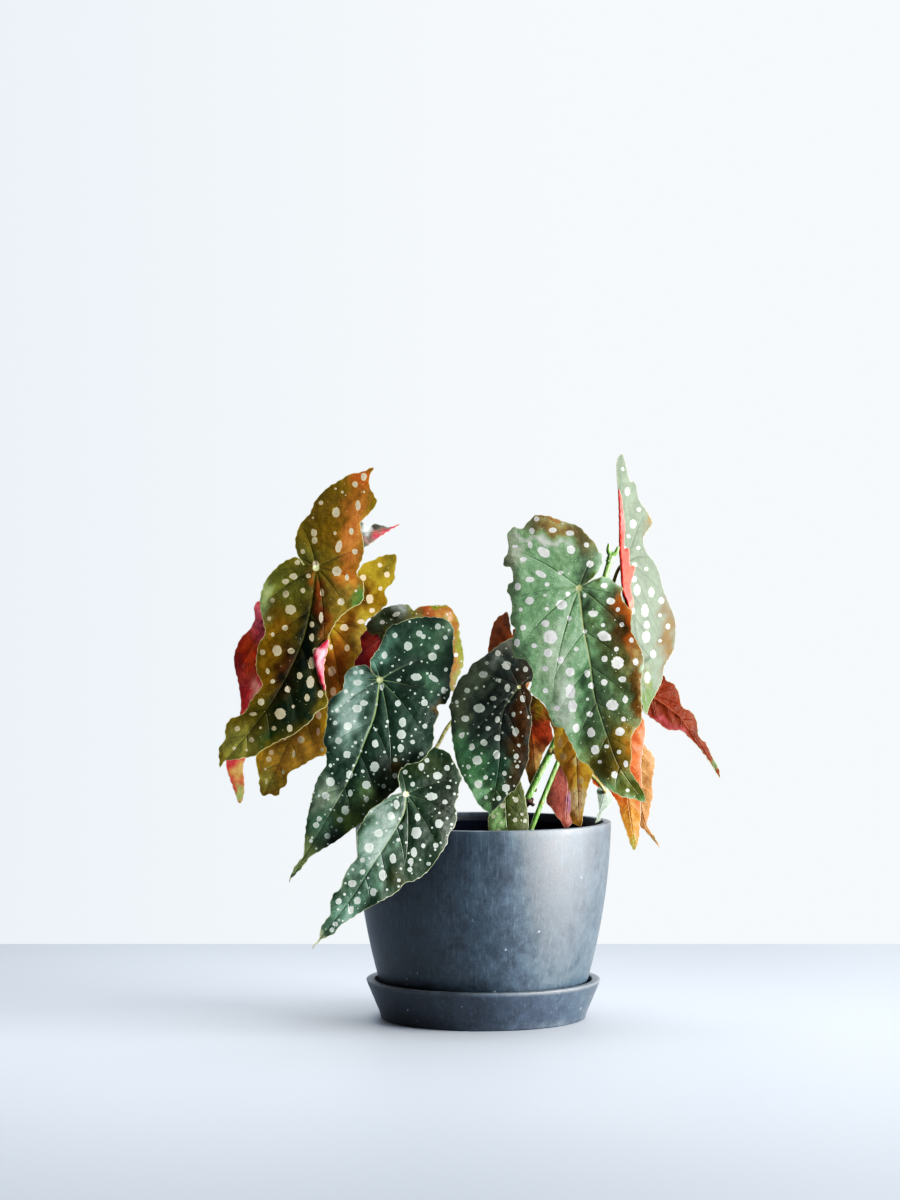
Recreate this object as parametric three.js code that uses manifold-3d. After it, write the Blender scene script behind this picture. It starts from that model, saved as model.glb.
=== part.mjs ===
// Potted polka dot begonia: twenty leaf blades on their stalks, four canes, soil, pot and saucer.
// Millimetres, +Z up. The origin is the centre of the saucer's resting face and the front
// of the plant looks along -Y.

import * as THREE from "three";
import Module from "manifold-3d";
import { mergeVertices } from "three/addons/utils/BufferGeometryUtils.js";

// ---- Driving dimensions: pot, saucer and soil ----

const TOUCH_GAP = 0.3; // between pieces that rest on or in each other
const ROUND = 48; // sides of a turned piece

const RIM_RADIUS = 80;
const RIM_HEIGHT = 122.3;
const POT_WALL = 4.8;
const POT_FLOOR = 6;
const POT_CORNER = 9; // height of the rounding at the pot's foot
const WALL_LEAN = 0.02; // how far the wall comes in per mm below the rim
const WALL_SWELL = 0.0013; // and per square mm, which gives its swollen line
const EDGE_SOFT = 0.8; // bevel on rims
const DRAIN_RADIUS = 9;

const SAUCER_RIM_RADIUS = 73.2;
const SAUCER_BASE_RADIUS = 64.2;
const SAUCER_HEIGHT = 24.2;
const SAUCER_WALL = 5.5;
const SAUCER_FLOOR = 5;

const SOIL_EDGE = 101; // height of the soil at the pot's wall
const SOIL_CROWN = 104; // and in the middle

// ---- Driving dimensions: plant ----

const BLADE_THICK = 1.2;
const STALK_RADIUS = 1.2;
const STALK_SIDES = 6;
const STALK_STEPS = 7;
const CANE_SIDES = 8;
const CANE_STEPS = 12;

// ---- The viewpoint that the leaf outlines were traced from ----
// Outlines are traced in a picture of 900 x 1200 points. EYE is where its centre of view
// stands, LENS is the distance, in those points, at which the picture hangs before the eye.

const EYE = new THREE.Vector3(-20.8, -1795, 260.6);
const LENS = 2866.7;
const MIDDLE = { x: 450, y: 600 };

// The real point that a picture point shows, at a given depth (its Y).
function atDepth(x, y, depth) {
  const t = depth - EYE.y;
  return new THREE.Vector3(
    EYE.x + ((x - MIDDLE.x) / LENS) * t,
    depth,
    EYE.z - ((y - MIDDLE.y) / LENS) * t,
  );
}

// A list of picture points written as "x,y x,y ...".
function traced(text) {
  return text.trim().split(/\s+/).map((pair) => {
    const [x, y] = pair.split(",").map(Number);
    return new THREE.Vector2(x, y);
  });
}

// ---- Materials ----

function finish(colour, roughness) {
  return new THREE.MeshStandardMaterial({ color: colour, roughness, metalness: 0 });
}

// ---- Solids for cutting ----

const wasm = await Module();
wasm.setup();

function solidOf(geometry) {
  const bare = geometry.index ? geometry.toNonIndexed() : geometry.clone();
  bare.deleteAttribute("normal");
  bare.deleteAttribute("uv");
  const merged = mergeVertices(bare, 1e-3);
  return new wasm.Manifold(new wasm.Mesh({
    numProp: 3,
    vertProperties: new Float32Array(merged.attributes.position.array),
    triVerts: new Uint32Array(merged.index.array),
  }));
}

function geometryOf(solid) {
  const mesh = solid.getMesh();
  const geometry = new THREE.BufferGeometry();
  geometry.setAttribute("position", new THREE.BufferAttribute(mesh.vertProperties, 3));
  geometry.setIndex(new THREE.BufferAttribute(mesh.triVerts, 1));
  geometry.computeVertexNormals();
  return geometry;
}

// ---- Pot, saucer and soil: turned about Z ----

// A profile of [radius, height] pairs, turned about the Z axis.
function turned(profile) {
  const points = profile.map(([r, z]) => new THREE.Vector2(r, z));
  return new THREE.LatheGeometry(points, ROUND).rotateX(Math.PI / 2);
}

const POT_FOOT = SAUCER_FLOOR + TOUCH_GAP;

function potRadius(height) {
  const below = RIM_HEIGHT - height;
  const corner = Math.max(0, POT_FOOT + POT_CORNER - height) / POT_CORNER;
  return RIM_RADIUS - WALL_LEAN * below - WALL_SWELL * below ** 2 - 6 * corner ** 2;
}

function pot() {
  const wallHeights = [POT_FOOT + 3, POT_FOOT + POT_CORNER, 32, 52, 72, 92, 110];
  const innerFloor = POT_FOOT + POT_FLOOR;
  const inside = wallHeights.slice(1).map((z) => [potRadius(z) - POT_WALL, z]);
  return turned([
    [DRAIN_RADIUS, POT_FOOT],
    [potRadius(POT_FOOT), POT_FOOT],
    ...wallHeights.map((z) => [potRadius(z), z]),
    [RIM_RADIUS, RIM_HEIGHT - EDGE_SOFT],
    [RIM_RADIUS - EDGE_SOFT, RIM_HEIGHT],
    [RIM_RADIUS - POT_WALL + EDGE_SOFT, RIM_HEIGHT],
    [RIM_RADIUS - POT_WALL, RIM_HEIGHT - EDGE_SOFT],
    ...inside.reverse(),
    [potRadius(innerFloor) - POT_WALL, innerFloor],
    [DRAIN_RADIUS, innerFloor],
    [DRAIN_RADIUS, POT_FOOT],
  ]);
}

function saucer() {
  const innerRim = SAUCER_RIM_RADIUS - SAUCER_WALL;
  const innerBase = SAUCER_BASE_RADIUS - SAUCER_WALL + 1.5;
  return turned([
    [0, 0],
    [SAUCER_BASE_RADIUS - EDGE_SOFT, 0],
    [SAUCER_BASE_RADIUS, EDGE_SOFT],
    [SAUCER_RIM_RADIUS, SAUCER_HEIGHT - EDGE_SOFT],
    [SAUCER_RIM_RADIUS - EDGE_SOFT, SAUCER_HEIGHT],
    [innerRim + EDGE_SOFT, SAUCER_HEIGHT],
    [innerRim, SAUCER_HEIGHT - EDGE_SOFT],
    [innerBase, SAUCER_FLOOR],
    [0, SAUCER_FLOOR],
  ]);
}

function soilBody() {
  const floor = POT_FOOT + POT_FLOOR + TOUCH_GAP;
  const beside = (z) => [potRadius(z) - POT_WALL - 2 * TOUCH_GAP, z];
  return turned([
    [0, floor],
    [potRadius(floor) - POT_WALL - 2 * TOUCH_GAP, floor],
    ...[POT_FOOT + POT_CORNER + 2, 32, 52, 72, 92, SOIL_EDGE].map(beside),
    [RIM_RADIUS * 0.5, SOIL_CROWN - 0.6],
    [0, SOIL_CROWN],
  ]);
}

// ---- Canes: upright stems, as picture points with their depth, from the soil up ----

const CANES = {
  cane_left: {
    radius: 2.4,
    route: [[437, 900, -8], [440, 850, -8], [425, 760, -8], [405, 690, -8], [375, 620, -3], [340, 557, 4]],
  },
  cane_middle: {
    radius: 2.2,
    route: [[497, 900, -4], [495, 850, -5], [490, 760, -10], [495, 690, -12], [503, 655, -13]],
  },
  cane_right: {
    radius: 2.3,
    route: [[500, 900, -22], [508, 850, -24], [528.8, 796, -24], [551.6, 749, -22], [578, 690, -18],
      [594, 630, -18], [603, 585, -18], [611, 556, -18]],
  },
  cane_right_second: {
    radius: 1.7,
    route: [[520, 900, -8], [524, 850, -8], [532, 827.5, -8], [557.6, 763, -6], [580, 715, -2],
      [600, 665, 6], [606, 620, 12]],
  },
};

function roundSection(radius, sides) {
  const corners = [];
  for (let i = 0; i < sides; i++) {
    const angle = (i / sides) * 2 * Math.PI;
    corners.push(new THREE.Vector2(radius * Math.cos(angle), radius * Math.sin(angle)));
  }
  return new THREE.Shape(corners);
}

function tube(path, radius, sides, steps) {
  return new THREE.ExtrudeGeometry(roundSection(radius, sides), {
    steps,
    bevelEnabled: false,
    extrudePath: path,
  });
}

function canePath(name) {
  return new THREE.CatmullRomCurve3(CANES[name].route.map((p) => atDepth(...p)), false, "centripetal");
}

function cane(name) {
  return tube(canePath(name), CANES[name].radius, CANE_SIDES, CANE_STEPS);
}

// ---- Leaf blades ----
// heart: where the veins and the stalk meet. outline: the margin, all round.
// depths: the Y of heart and tip. turn: degrees that the blade is turned about its
// heart-to-tip line, positive with its right side further back. bow: how far the blade
// bulges forward between heart and tip. wings: how far its margins fall back.
// under: the front shows the underside, so the stalk comes to the front.

const LEAVES = {
  left_top: {
    heart: [316, 568],
    tip: [220, 768],
    rib: "310,610 299,650 270,705",
    depths: [-42, -72],
    turn: -8,
    bow: 7,
    wings: 9,
    stalk: { cane: "cane_left", at: 0.98 },
    outline: `304,565 299,558 296,550 295,542 297,532 301,523 310,513 315,501 327,488 340,480 350,474
      361,472 374,467 370,476 370,487 377,502 369,514 361,522 361,529 363,539 364,552 360,565 357,574
      363,581 364,589 362,602 350,609 338,620 329,636 327,651 324,663 323,676 325,689 328,701 326,707
      320,710 315,714 311,721 302,728 293,735 281,740 270,746 261,751 255,756 244,758 233,760 225,761
      220,768 219,760 219,748 225,739 225,729 230,719 241,715 247,709 250,702 256,694 262,686 260,679
      257,673 256,664 257,653 259,643 264,636 265,631 262,617 260,608 260,599 262,589 267,578 278,566
      287,560 297,557`,
  },
  left_behind: {
    heart: [325, 622],
    tip: [264, 796],
    rib: "316,680 290,740",
    depths: [-24, -48],
    turn: -4,
    bow: 4,
    wings: 6,
    stalk: { cane: "cane_left", at: 0.84 },
    outline: `357,573 363,564 373,560 381,556 394,554 397,558 395,571 394,581 386,589 385,594 388,602
      384,607 375,615 367,620 365,625 367,630 361,636 361,645 362,651 357,658 354,665 350,690 342,715
      333,740 325,755 320,756 313,759 300,767 290,772 287,778 287,784 280,790 279,795 275,796 270,794
      264,796 261,794 259,784 259,777 257,768 256,757 262,735 272,700 282,665 292,640 300,620 310,604
      320,612 332,600 345,589`,
  },
  left_outer: {
    heart: [272, 618],
    tip: [241, 803],
    rib: "270,680 255,740",
    depths: [14, 24],
    turn: 38,
    bow: 4,
    wings: 4,
    under: true,
    stalk: { cane: "cane_left", at: 0.78 },
    outline: `264,604 259,601 255,604 254,611 255,618 250,629 241,638 235,652 234,660 235,669 238,681
      240,694 241,703 240,715 236,735 228,750 226,761 227,770 232,785 236,796 238,802 241,803 244,793
      244,779 243,768 247,755 262,735 280,712 292,685 298,655 294,630 284,612 276,612`,
  },
  left_rear: {
    heart: [350, 535],
    tip: [401, 524],
    rib: "375,532",
    depths: [20, 44],
    turn: 25,
    bow: 2,
    wings: 2,
    under: true,
    stalk: { cane: "cane_left", at: 0.95 },
    outline: `360,520 368,528 373,524 377,524 389,527 395,525 401,524 391,530 380,537 372,543 364,548
      355,552 345,548 339,538 344,535 341,527 347,519`,
  },
  centre_left: {
    heart: [380, 680],
    tip: [289, 883],
    rib: "375,714 366,738 355,766 338,800",
    depths: [-54, -82],
    turn: -6,
    bow: 6,
    wings: 8,
    stalk: { cane: "cane_left", at: 0.67 },
    outline: `378,677 372,672 370,663 372,657 378,649 383,639 386,631 392,625 399,623 409,619 422,617
      434,617 445,619 452,625 454,632 453,645 454,660 451,672 450,685 451,690 449,698 445,704 437,706
      439,714 434,726 434,738 432,748 426,758 414,772 398,788 381,803 366,818 360,824 351,830 338,840
      320,851 310,857 307,861 300,870 292,878 289,883 290,877 295,866 303,856 304,847 305,834 307,818
      312,796 316,782 320,774 326,765 326,757 326,748 323,742 325,732 327,719 328,704 332,697 342,690
      344,682 345,675 351,668 360,665 368,666 371,671 376,676`,
  },
  centre_rear: {
    heart: [408, 640],
    tip: [412, 768],
    rib: "411,700",
    depths: [-24, -28],
    turn: 3,
    bow: 5,
    wings: 7,
    stalk: { cane: "cane_left", at: 0.7 },
    outline: `367,623 372,619 381,610 390,606 399,605 405,628 409,604 417,606 428,606 441,605 449,606
      455,614 459,622 460,635 463,649 464,660 462,670 457,680 454,691 448,692 438,702 432,722 426,745
      412,768 405,750 400,722 396,690 392,656 382,634 375,635 368,632`,
  },
  red_inner: {
    heart: [385, 634],
    tip: [350, 738],
    rib: "372,690",
    depths: [14, 6],
    turn: 15,
    bow: 3,
    wings: 4,
    under: true,
    stalk: { cane: "cane_left", at: 0.74 },
    outline: `384,626 393,619 402,628 404,645 396,668 385,695 368,720 350,738 345,715 342,690 340,665
      345,645 355,632 368,624 378,622`,
  },
  front_low: {
    heart: [406, 794],
    tip: [312, 949],
    rib: "403,815 387,843 372,866 350,900",
    depths: [-84, -102],
    turn: 0,
    bow: 5,
    wings: 6,
    stalk: {
      cane: "cane_middle",
      at: 0.76,
      via: [[420, 771, -66], [436, 748, -56], [450, 724, -40], [474, 703, -24]],
    },
    outline: `401,792 399,784 398,776 401,769 409,764 418,762 425,757 429,751 434,747 441,749 449,753
      453,760 457,767 462,779 459,786 459,796 455,804 457,815 455,826 449,834 447,844 441,853 433,865
      425,874 414,881 405,883 399,890 391,896 385,899 374,905 363,911 351,919 340,926 334,934 327,937
      320,941 312,949 314,944 319,938 320,930 324,922 330,914 330,903 334,893 340,889 342,881 347,870
      354,861 357,858 357,847 357,832 360,826 366,816 370,810 379,804 387,798 394,794 399,793`,
  },
  centre: {
    heart: [519, 687],
    tip: [491, 814],
    rib: "509,701 503,712 500,738 499,765",
    depths: [-54, -62],
    turn: 6,
    bow: 6,
    wings: 4,
    stalk: { cane: "cane_middle", at: 0.9 },
    outline: `522,636 534,645 539,662 537,680 526,684 532,696 530,707 532,719 531,730 529,741 529,753
      528,762 524,771 520,781 517,787 514,791 507,796 503,802 497,807 491,814 486,811 478,804 471,791
      463,778 457,764 454,750 452,738 451,727 451,715 449,707 451,700 453,692 456,686 460,678 468,672
      471,665 480,659 491,651 500,644 507,640 512,638`,
  },
  rim_small: {
    heart: [505, 774],
    tip: [509, 853],
    rib: "506,810",
    depths: [-50, -56],
    turn: 8,
    bow: 3,
    wings: 4,
    stalk: { cane: "cane_middle", at: 0.6 },
    outline: `504,766 513,763 521,782 524,791 526,802 528,814 528,830 520,842 509,853 498,843 489,830
      488,820 489,812 487,800 488,785 495,765`,
  },
  right_large: {
    heart: [579, 588],
    tip: [644, 802],
    rib: "583,625 590,662 594,694 602,721 610,744 620,768",
    depths: [-72, -92],
    turn: 5,
    bow: 8,
    wings: 9,
    stalk: { cane: "cane_right", at: 0.88 },
    outline: `584,585 592,579 598,572 602,564 602,554 599,552 595,543 588,536 582,529 576,525 569,523
      560,520 549,516 538,515 535,515 531,519 525,525 522,529 515,527 511,529 507,535 508,543 508,551
      504,559 503,564 506,567 511,568 513,580 508,585 507,591 510,597 512,608 510,621 515,630 512,641
      513,654 517,659 524,659 530,666 533,674 530,690 532,694 544,704 547,710 552,722 555,727 563,728
      567,736 574,749 579,760 588,765 592,771 599,780 607,788 615,793 623,797 634,799 644,802 645,796
      641,787 633,775 630,768 632,755 631,740 635,730 641,723 642,710 642,701 641,684 643,670 644,660
      641,649 636,639 632,633 631,622 632,611 625,604 621,595 623,588 616,584 609,578 601,577 592,580`,
  },
  right_tall: {
    heart: [627, 562],
    tip: [646, 714],
    rib: "632,610 640,665",
    depths: [-8, -14],
    turn: 58,
    bow: 3,
    wings: 3,
    stalk: { cane: "cane_right", at: 0.84 },
    outline: `622,454 626,466 628,476 630,481 635,483 639,500 646,510 652,523 648,530 643,539 646,552
      654,562 659,573 663,589 669,604 675,620 675,641 673,651 664,667 662,680 656,693 650,704 646,714
      641,700 636,670 628,630 622,591 620,562 619,549 620,529 619,502 618,489 617,479 617,461`,
  },
  right_outer: {
    heart: [652, 696],
    tip: [720, 778],
    rib: "684,722",
    depths: [30, 52],
    turn: 20,
    bow: 4,
    wings: 3,
    under: true,
    stalk: { cane: "cane_right_second", at: 0.93 },
    outline: `663,675 667,681 673,683 679,693 682,706 692,712 697,722 699,736 706,743 712,756 719,769
      720,778 716,773 712,766 699,748 686,735 681,731 668,730 658,723 645,713 640,702 648,697 640,688
      650,676`,
  },
  right_hanging: {
    heart: [620, 712],
    tip: [635, 850],
    rib: "624,770",
    depths: [4, 9],
    turn: 14,
    bow: 4,
    wings: 5,
    under: true,
    stalk: { cane: "cane_right_second", at: 0.78 },
    outline: `618,702 628,696 638,706 643,718 645,725 645,736 643,749 641,764 642,784 641,803 641,811
      640,824 639,838 635,850 631,846 626,831 621,817 618,804 612,797 602,790 593,783 590,770 592,750
      598,728 608,705`,
  },
  right_hanging_rear: {
    heart: [633, 748],
    tip: [660, 848],
    rib: "640,800 646,826",
    depths: [26, 30],
    turn: -10,
    bow: 3,
    wings: 4,
    under: true,
    stalk: { cane: "cane_right_second", at: 0.7 },
    outline: `634,741 642,742 647,748 652,753 655,761 654,771 652,784 653,796 651,804 649,816 647,823
      649,829 655,837 660,848 653,840 646,832 641,827 636,822 628,805 622,785 622,760 628,742`,
  },
  centre_top_rear: {
    heart: [514, 652],
    tip: [502, 712],
    rib: "508,684",
    depths: [10, 14],
    turn: -20,
    bow: 3,
    wings: 4,
    under: true,
    stalk: { cane: "cane_middle", at: 0.97 },
    outline: `489,643 490,637 493,625 497,618 503,614 508,613 512,635 514,629 526,630 534,645 535,665
      526,690 502,712 491,690 487,665`,
  },
  low_right: {
    heart: [575, 712],
    tip: [579, 826],
    rib: "577,770",
    depths: [-42, -36],
    turn: -14,
    bow: 4,
    wings: 5,
    stalk: { cane: "cane_right", at: 0.66 },
    outline: `574,700 565,692 552,698 546,709 544,714 550,722 554,733 554,746 555,757 560,764 563,772
      567,779 568,787 570,792 571,808 570,816 574,824 579,826 582,825 583,815 586,799 588,788 591,779
      595,769 601,755 603,735 598,712 586,695`,
  },
  low_salmon: {
    heart: [569, 770],
    tip: [565, 828],
    rib: "567,800",
    depths: [14, 10],
    turn: 12,
    bow: 2,
    wings: 3,
    under: true,
    stalk: { cane: "cane_right_second", at: 0.52 },
    outline: `567,764 562,761 558,768 554,776 550,787 546,801 552,809 556,816 562,823 563,827 565,828
      569,827 577,815 581,790 579,770 573,759`,
  },
  low_rear: {
    heart: [528, 712],
    tip: [536, 792],
    rib: "533,752",
    depths: [34, 28],
    turn: -15,
    bow: 3,
    wings: 4,
    under: true,
    stalk: { cane: "cane_middle", at: 0.66 },
    outline: `525,704 532,696 539,700 546,708 550,722 553,736 551,742 545,750 541,761 538,776 536,792
      530,785 526,771 520,760 512,735 514,710 519,700`,
  },
  rim_right: {
    heart: [604, 792],
    tip: [595, 823],
    rib: "600,806",
    depths: [-10, -6],
    turn: 20,
    bow: 1,
    wings: 2,
    under: true,
    stalk: { cane: "cane_right_second", at: 0.5 },
    outline: `603,787 606,787 613,796 614,800 607,808 602,812 600,820 595,823 599,811 598,800 597,790
      600,786`,
  },
};

// ---- Bracts: dry scales left on the canes, flakes of the same make as a blade ----

const BRACTS = {
  bract_low: {
    heart: [531, 798],
    tip: [530, 809],
    rib: "531,803",
    depths: [-27.3, -27.3],
    turn: 0,
    bow: 0,
    wings: 0,
    outline: "526,799 530,796 536,799 536,805 530,809 526,806",
  },
  bract_high: {
    heart: [551, 749],
    tip: [556, 757],
    rib: "553,752",
    depths: [-25.6, -25.6],
    turn: 0,
    bow: 0,
    wings: 0,
    outline: "547,750 550,746 556,746 559,752 556,757 551,756",
  },
};

const STATIONS = 7; // places along the midrib where ribs start
const FAN = 13; // ribs that fan out of the heart
const RINGS = [0, 0.5, 0.82, 1]; // rings between midrib and margin
const RIB_SLANT = 0.55; // how much nearer to the heart a rib starts than it ends
const TRACE_STEPS = 480;

// The curved surface of a blade, as a function of the picture point.
function bladeSurface(leaf) {
  const heart = atDepth(...leaf.heart, leaf.depths[0]);
  const tip = atDepth(...leaf.tip, leaf.depths[1]);
  const along = tip.clone().sub(heart);
  const length = along.length();
  along.normalize();
  const normal = EYE.clone().sub(heart);
  normal.addScaledVector(along, -normal.dot(along)).normalize();
  normal.applyAxisAngle(along, -THREE.MathUtils.degToRad(leaf.turn));
  const across = new THREE.Vector3().crossVectors(along, normal);

  const flat = (x, y) => {
    const ray = atDepth(x, y, EYE.y + 1).sub(EYE).normalize();
    const reach = heart.clone().sub(EYE).dot(normal) / ray.dot(normal);
    return { ray, point: EYE.clone().addScaledVector(ray, reach) };
  };
  const local = (point) => {
    const from = point.clone().sub(heart);
    return { w: from.dot(along) / length, s: from.dot(across) / length };
  };
  const at = (x, y) => {
    const { ray, point } = flat(x, y);
    const { w, s } = local(point);
    const lift = leaf.bow * (1 - (2 * w - 1) ** 2) - leaf.wings * (s / 0.35) ** 2;
    return point.addScaledVector(ray, lift / ray.dot(normal));
  };
  const slope = (x, y) => {
    const wide = at(x + 2, y).sub(at(x - 2, y));
    const tall = at(x, y + 2).sub(at(x, y - 2));
    return wide.cross(tall).normalize();
  };
  return { at, slope, normal, place: (x, y) => local(flat(x, y).point) };
}

// Points at equal steps along a line of picture points.
function evenly(points, steps, closed) {
  const line = closed ? [...points, points[0]] : points;
  const run = [0];
  for (let i = 1; i < line.length; i++) run.push(run[i - 1] + line[i].distanceTo(line[i - 1]));
  const total = run[run.length - 1];
  const even = [];
  let seg = 1;
  for (let i = 0; i <= steps; i++) {
    const goal = (i / steps) * total;
    while (seg < line.length - 1 && run[seg] < goal) seg++;
    const part = (goal - run[seg - 1]) / (run[seg] - run[seg - 1]);
    even.push(line[seg - 1].clone().lerp(line[seg], part));
  }
  return even;
}

// Columns of a blade's mesh: each runs from a root on the midrib to a point of the margin.
function bladeColumns(leaf, surface) {
  const outline = traced(leaf.outline);
  const tip = new THREE.Vector2(...leaf.tip);
  const nearest = outline.reduce((best, p, i) =>
    (p.distanceTo(tip) < outline[best].distanceTo(tip) ? i : best), 0);
  const margin = evenly([...outline.slice(nearest), ...outline.slice(0, nearest)], TRACE_STEPS, true);
  const rootOf = (p) => {
    const { w, s } = surface.place(p.x, p.y);
    return w - RIB_SLANT * Math.abs(s);
  };
  const side = (step) => {
    const found = [];
    let i = 0;
    for (let k = STATIONS - 1; k >= 1; k--) {
      while (rootOf(margin[(i + TRACE_STEPS) % TRACE_STEPS]) > k / STATIONS) i += step;
      found.push({ station: k, end: margin[(i + TRACE_STEPS) % TRACE_STEPS] });
    }
    while (rootOf(margin[(i + TRACE_STEPS) % TRACE_STEPS]) > 0) i += step;
    return { found, last: (i + TRACE_STEPS) % TRACE_STEPS };
  };
  const first = side(1);
  const second = side(-1);
  const fan = evenly(margin.slice(first.last, second.last + 1), FAN - 1, false);
  return [
    { station: STATIONS, end: margin[0] },
    ...first.found,
    ...fan.map((end) => ({ station: 0, end })),
    ...second.found.reverse(),
  ];
}

function blade(leaf) {
  const surface = bladeSurface(leaf);
  const rib = [new THREE.Vector2(...leaf.heart), ...traced(leaf.rib), new THREE.Vector2(...leaf.tip)];
  const stations = evenly(rib, STATIONS, false);
  const columns = bladeColumns(leaf, surface);
  const half = surface.normal.clone().multiplyScalar(BLADE_THICK / 2);
  const positions = [];
  const index = [];
  const ids = new Map();
  // The number of a mesh point, made when it is first asked for.
  const vertex = (column, ring, front) => {
    const { station, end } = columns[column % columns.length];
    const atRoot = RINGS[ring] === 0 || station === STATIONS;
    const key = atRoot ? `root ${station} ${front}` : `${column % columns.length} ${ring} ${front}`;
    if (!ids.has(key)) {
      const flat = atRoot ? stations[station] : stations[station].clone().lerp(end, RINGS[ring]);
      const point = surface.at(flat.x, flat.y).addScaledVector(half, front ? 1 : -1);
      ids.set(key, positions.length / 3);
      positions.push(point.x, point.y, point.z);
    }
    return ids.get(key);
  };
  const triangle = (a, b, c) => {
    if (a !== b && b !== c && c !== a) index.push(a, b, c);
  };
  const quad = (a, b, c, d) => {
    triangle(a, b, c);
    triangle(a, c, d);
  };
  const last = RINGS.length - 1;
  for (let i = 0; i < columns.length; i++) {
    for (let j = 0; j < last; j++) {
      quad(vertex(i, j, true), vertex(i, j + 1, true), vertex(i + 1, j + 1, true), vertex(i + 1, j, true));
      quad(vertex(i, j, false), vertex(i + 1, j, false), vertex(i + 1, j + 1, false), vertex(i, j + 1, false));
    }
    quad(vertex(i, last, true), vertex(i, last, false), vertex(i + 1, last, false), vertex(i + 1, last, true));
  }
  const geometry = new THREE.BufferGeometry();
  geometry.setAttribute("position", new THREE.Float32BufferAttribute(positions, 3));
  geometry.setIndex(index);
  if (solidOf(geometry).volume() < 0) {
    for (let i = 0; i < index.length; i += 3) [index[i + 1], index[i + 2]] = [index[i + 2], index[i + 1]];
    geometry.setIndex(index);
  }
  geometry.computeVertexNormals();
  return geometry;
}

// ---- Stalks: each runs from its cane to the back of its blade's heart ----

function stalk(leaf) {
  const surface = bladeSurface(leaf);
  const facing = surface.slope(...leaf.heart);
  facing.multiplyScalar(Math.sign(facing.dot(surface.normal)) * (leaf.under ? 1 : -1));
  const end = surface.at(...leaf.heart).addScaledVector(facing, BLADE_THICK / 2 + 2 * TOUCH_GAP);
  const path = canePath(leaf.stalk.cane);
  const joint = path.getPointAt(leaf.stalk.at);
  const up = path.getTangentAt(leaf.stalk.at);
  const out = end.clone().sub(joint);
  out.addScaledVector(up, -out.dot(up)).normalize();
  const start = joint.clone().addScaledVector(out, CANES[leaf.stalk.cane].radius + 2 * TOUCH_GAP);
  if (leaf.stalk.via) {
    const behind = end.clone().addScaledVector(facing, 4 * STALK_RADIUS);
    const points = [end, behind, ...leaf.stalk.via.map((p) => atDepth(...p)), start];
    return tube(new THREE.CatmullRomCurve3(points, false, "centripetal"), STALK_RADIUS, STALK_SIDES,
      2 * STALK_STEPS);
  }
  const reach = start.distanceTo(end);
  return tube(new THREE.CubicBezierCurve3(
    start,
    start.clone().addScaledVector(out, reach * 0.35).addScaledVector(up, reach * 0.1),
    end.clone().addScaledVector(facing, reach * 0.35),
    end,
  ), STALK_RADIUS, STALK_SIDES, STALK_STEPS);
}

// ---- Assembly ----

const group = new THREE.Group();

function add(name, geometry, material) {
  const mesh = new THREE.Mesh(geometry, material);
  mesh.name = name;
  group.add(mesh);
}

add("pot", pot(), finish(0x4b5a69, 0.75));
add("saucer", saucer(), finish(0x46545f, 0.75));

let soil = solidOf(soilBody());
for (const name of Object.keys(CANES)) {
  const socket = tube(canePath(name), CANES[name].radius + TOUCH_GAP, CANE_SIDES, CANE_STEPS);
  soil = soil.subtract(solidOf(socket));
  add(name, cane(name), finish(0x7da552, 0.5));
}
add("soil", geometryOf(soil), finish(0x2b211a, 1));

for (const [name, leaf] of Object.entries(LEAVES)) {
  add(`leaf_${name}`, blade(leaf), finish(leaf.under ? 0xa8402a : 0x2f4a35, 0.45));
  add(`stalk_${name}`, stalk(leaf), finish(0x8a9a4a, 0.5));
}

for (const [name, flake] of Object.entries(BRACTS)) add(name, blade(flake), finish(0x6b4a2c, 0.9));

export default group;
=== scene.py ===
# %% [markdown]
# # Potted polka dot begonia
# A young cane begonia in a round pot of slate-coloured composite. What makes it this plant is
# the leaf: wing shaped, lop-sided, dark satin green with silvery dots above and wine red
# below, thin enough to glow where light comes through it. The lesson spends most of its
# effort there: one way to cut a leaf, used twenty times on drawn outlines.

# %% Load the fixed frame
import math

import bpy
import numpy as np
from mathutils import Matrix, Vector
from mathutils.geometry import delaunay_2d_cdt


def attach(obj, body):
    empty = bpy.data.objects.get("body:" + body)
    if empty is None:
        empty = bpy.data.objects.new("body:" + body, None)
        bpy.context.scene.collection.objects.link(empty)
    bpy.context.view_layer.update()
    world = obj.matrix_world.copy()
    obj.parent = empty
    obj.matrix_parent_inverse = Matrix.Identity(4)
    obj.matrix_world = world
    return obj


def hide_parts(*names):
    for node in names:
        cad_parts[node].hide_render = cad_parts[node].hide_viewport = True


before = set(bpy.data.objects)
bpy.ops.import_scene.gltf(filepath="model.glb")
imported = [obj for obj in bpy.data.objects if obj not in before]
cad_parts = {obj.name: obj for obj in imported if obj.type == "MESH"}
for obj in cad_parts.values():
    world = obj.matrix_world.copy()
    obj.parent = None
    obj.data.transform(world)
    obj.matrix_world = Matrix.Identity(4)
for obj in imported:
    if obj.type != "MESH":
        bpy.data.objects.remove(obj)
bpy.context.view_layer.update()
scene = bpy.context.scene
MM = 0.001
print(len(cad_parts), "nodes in the frame")

# %% [markdown]
# ## Camera
# The leaves were drawn in a picture of 900 x 1200 points, looked at through a level 86 mm
# lens. The camera stands at that same viewpoint, so that a point of an outline can be sent
# back into space along its line of sight. One number, the depth, then places it.

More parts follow.
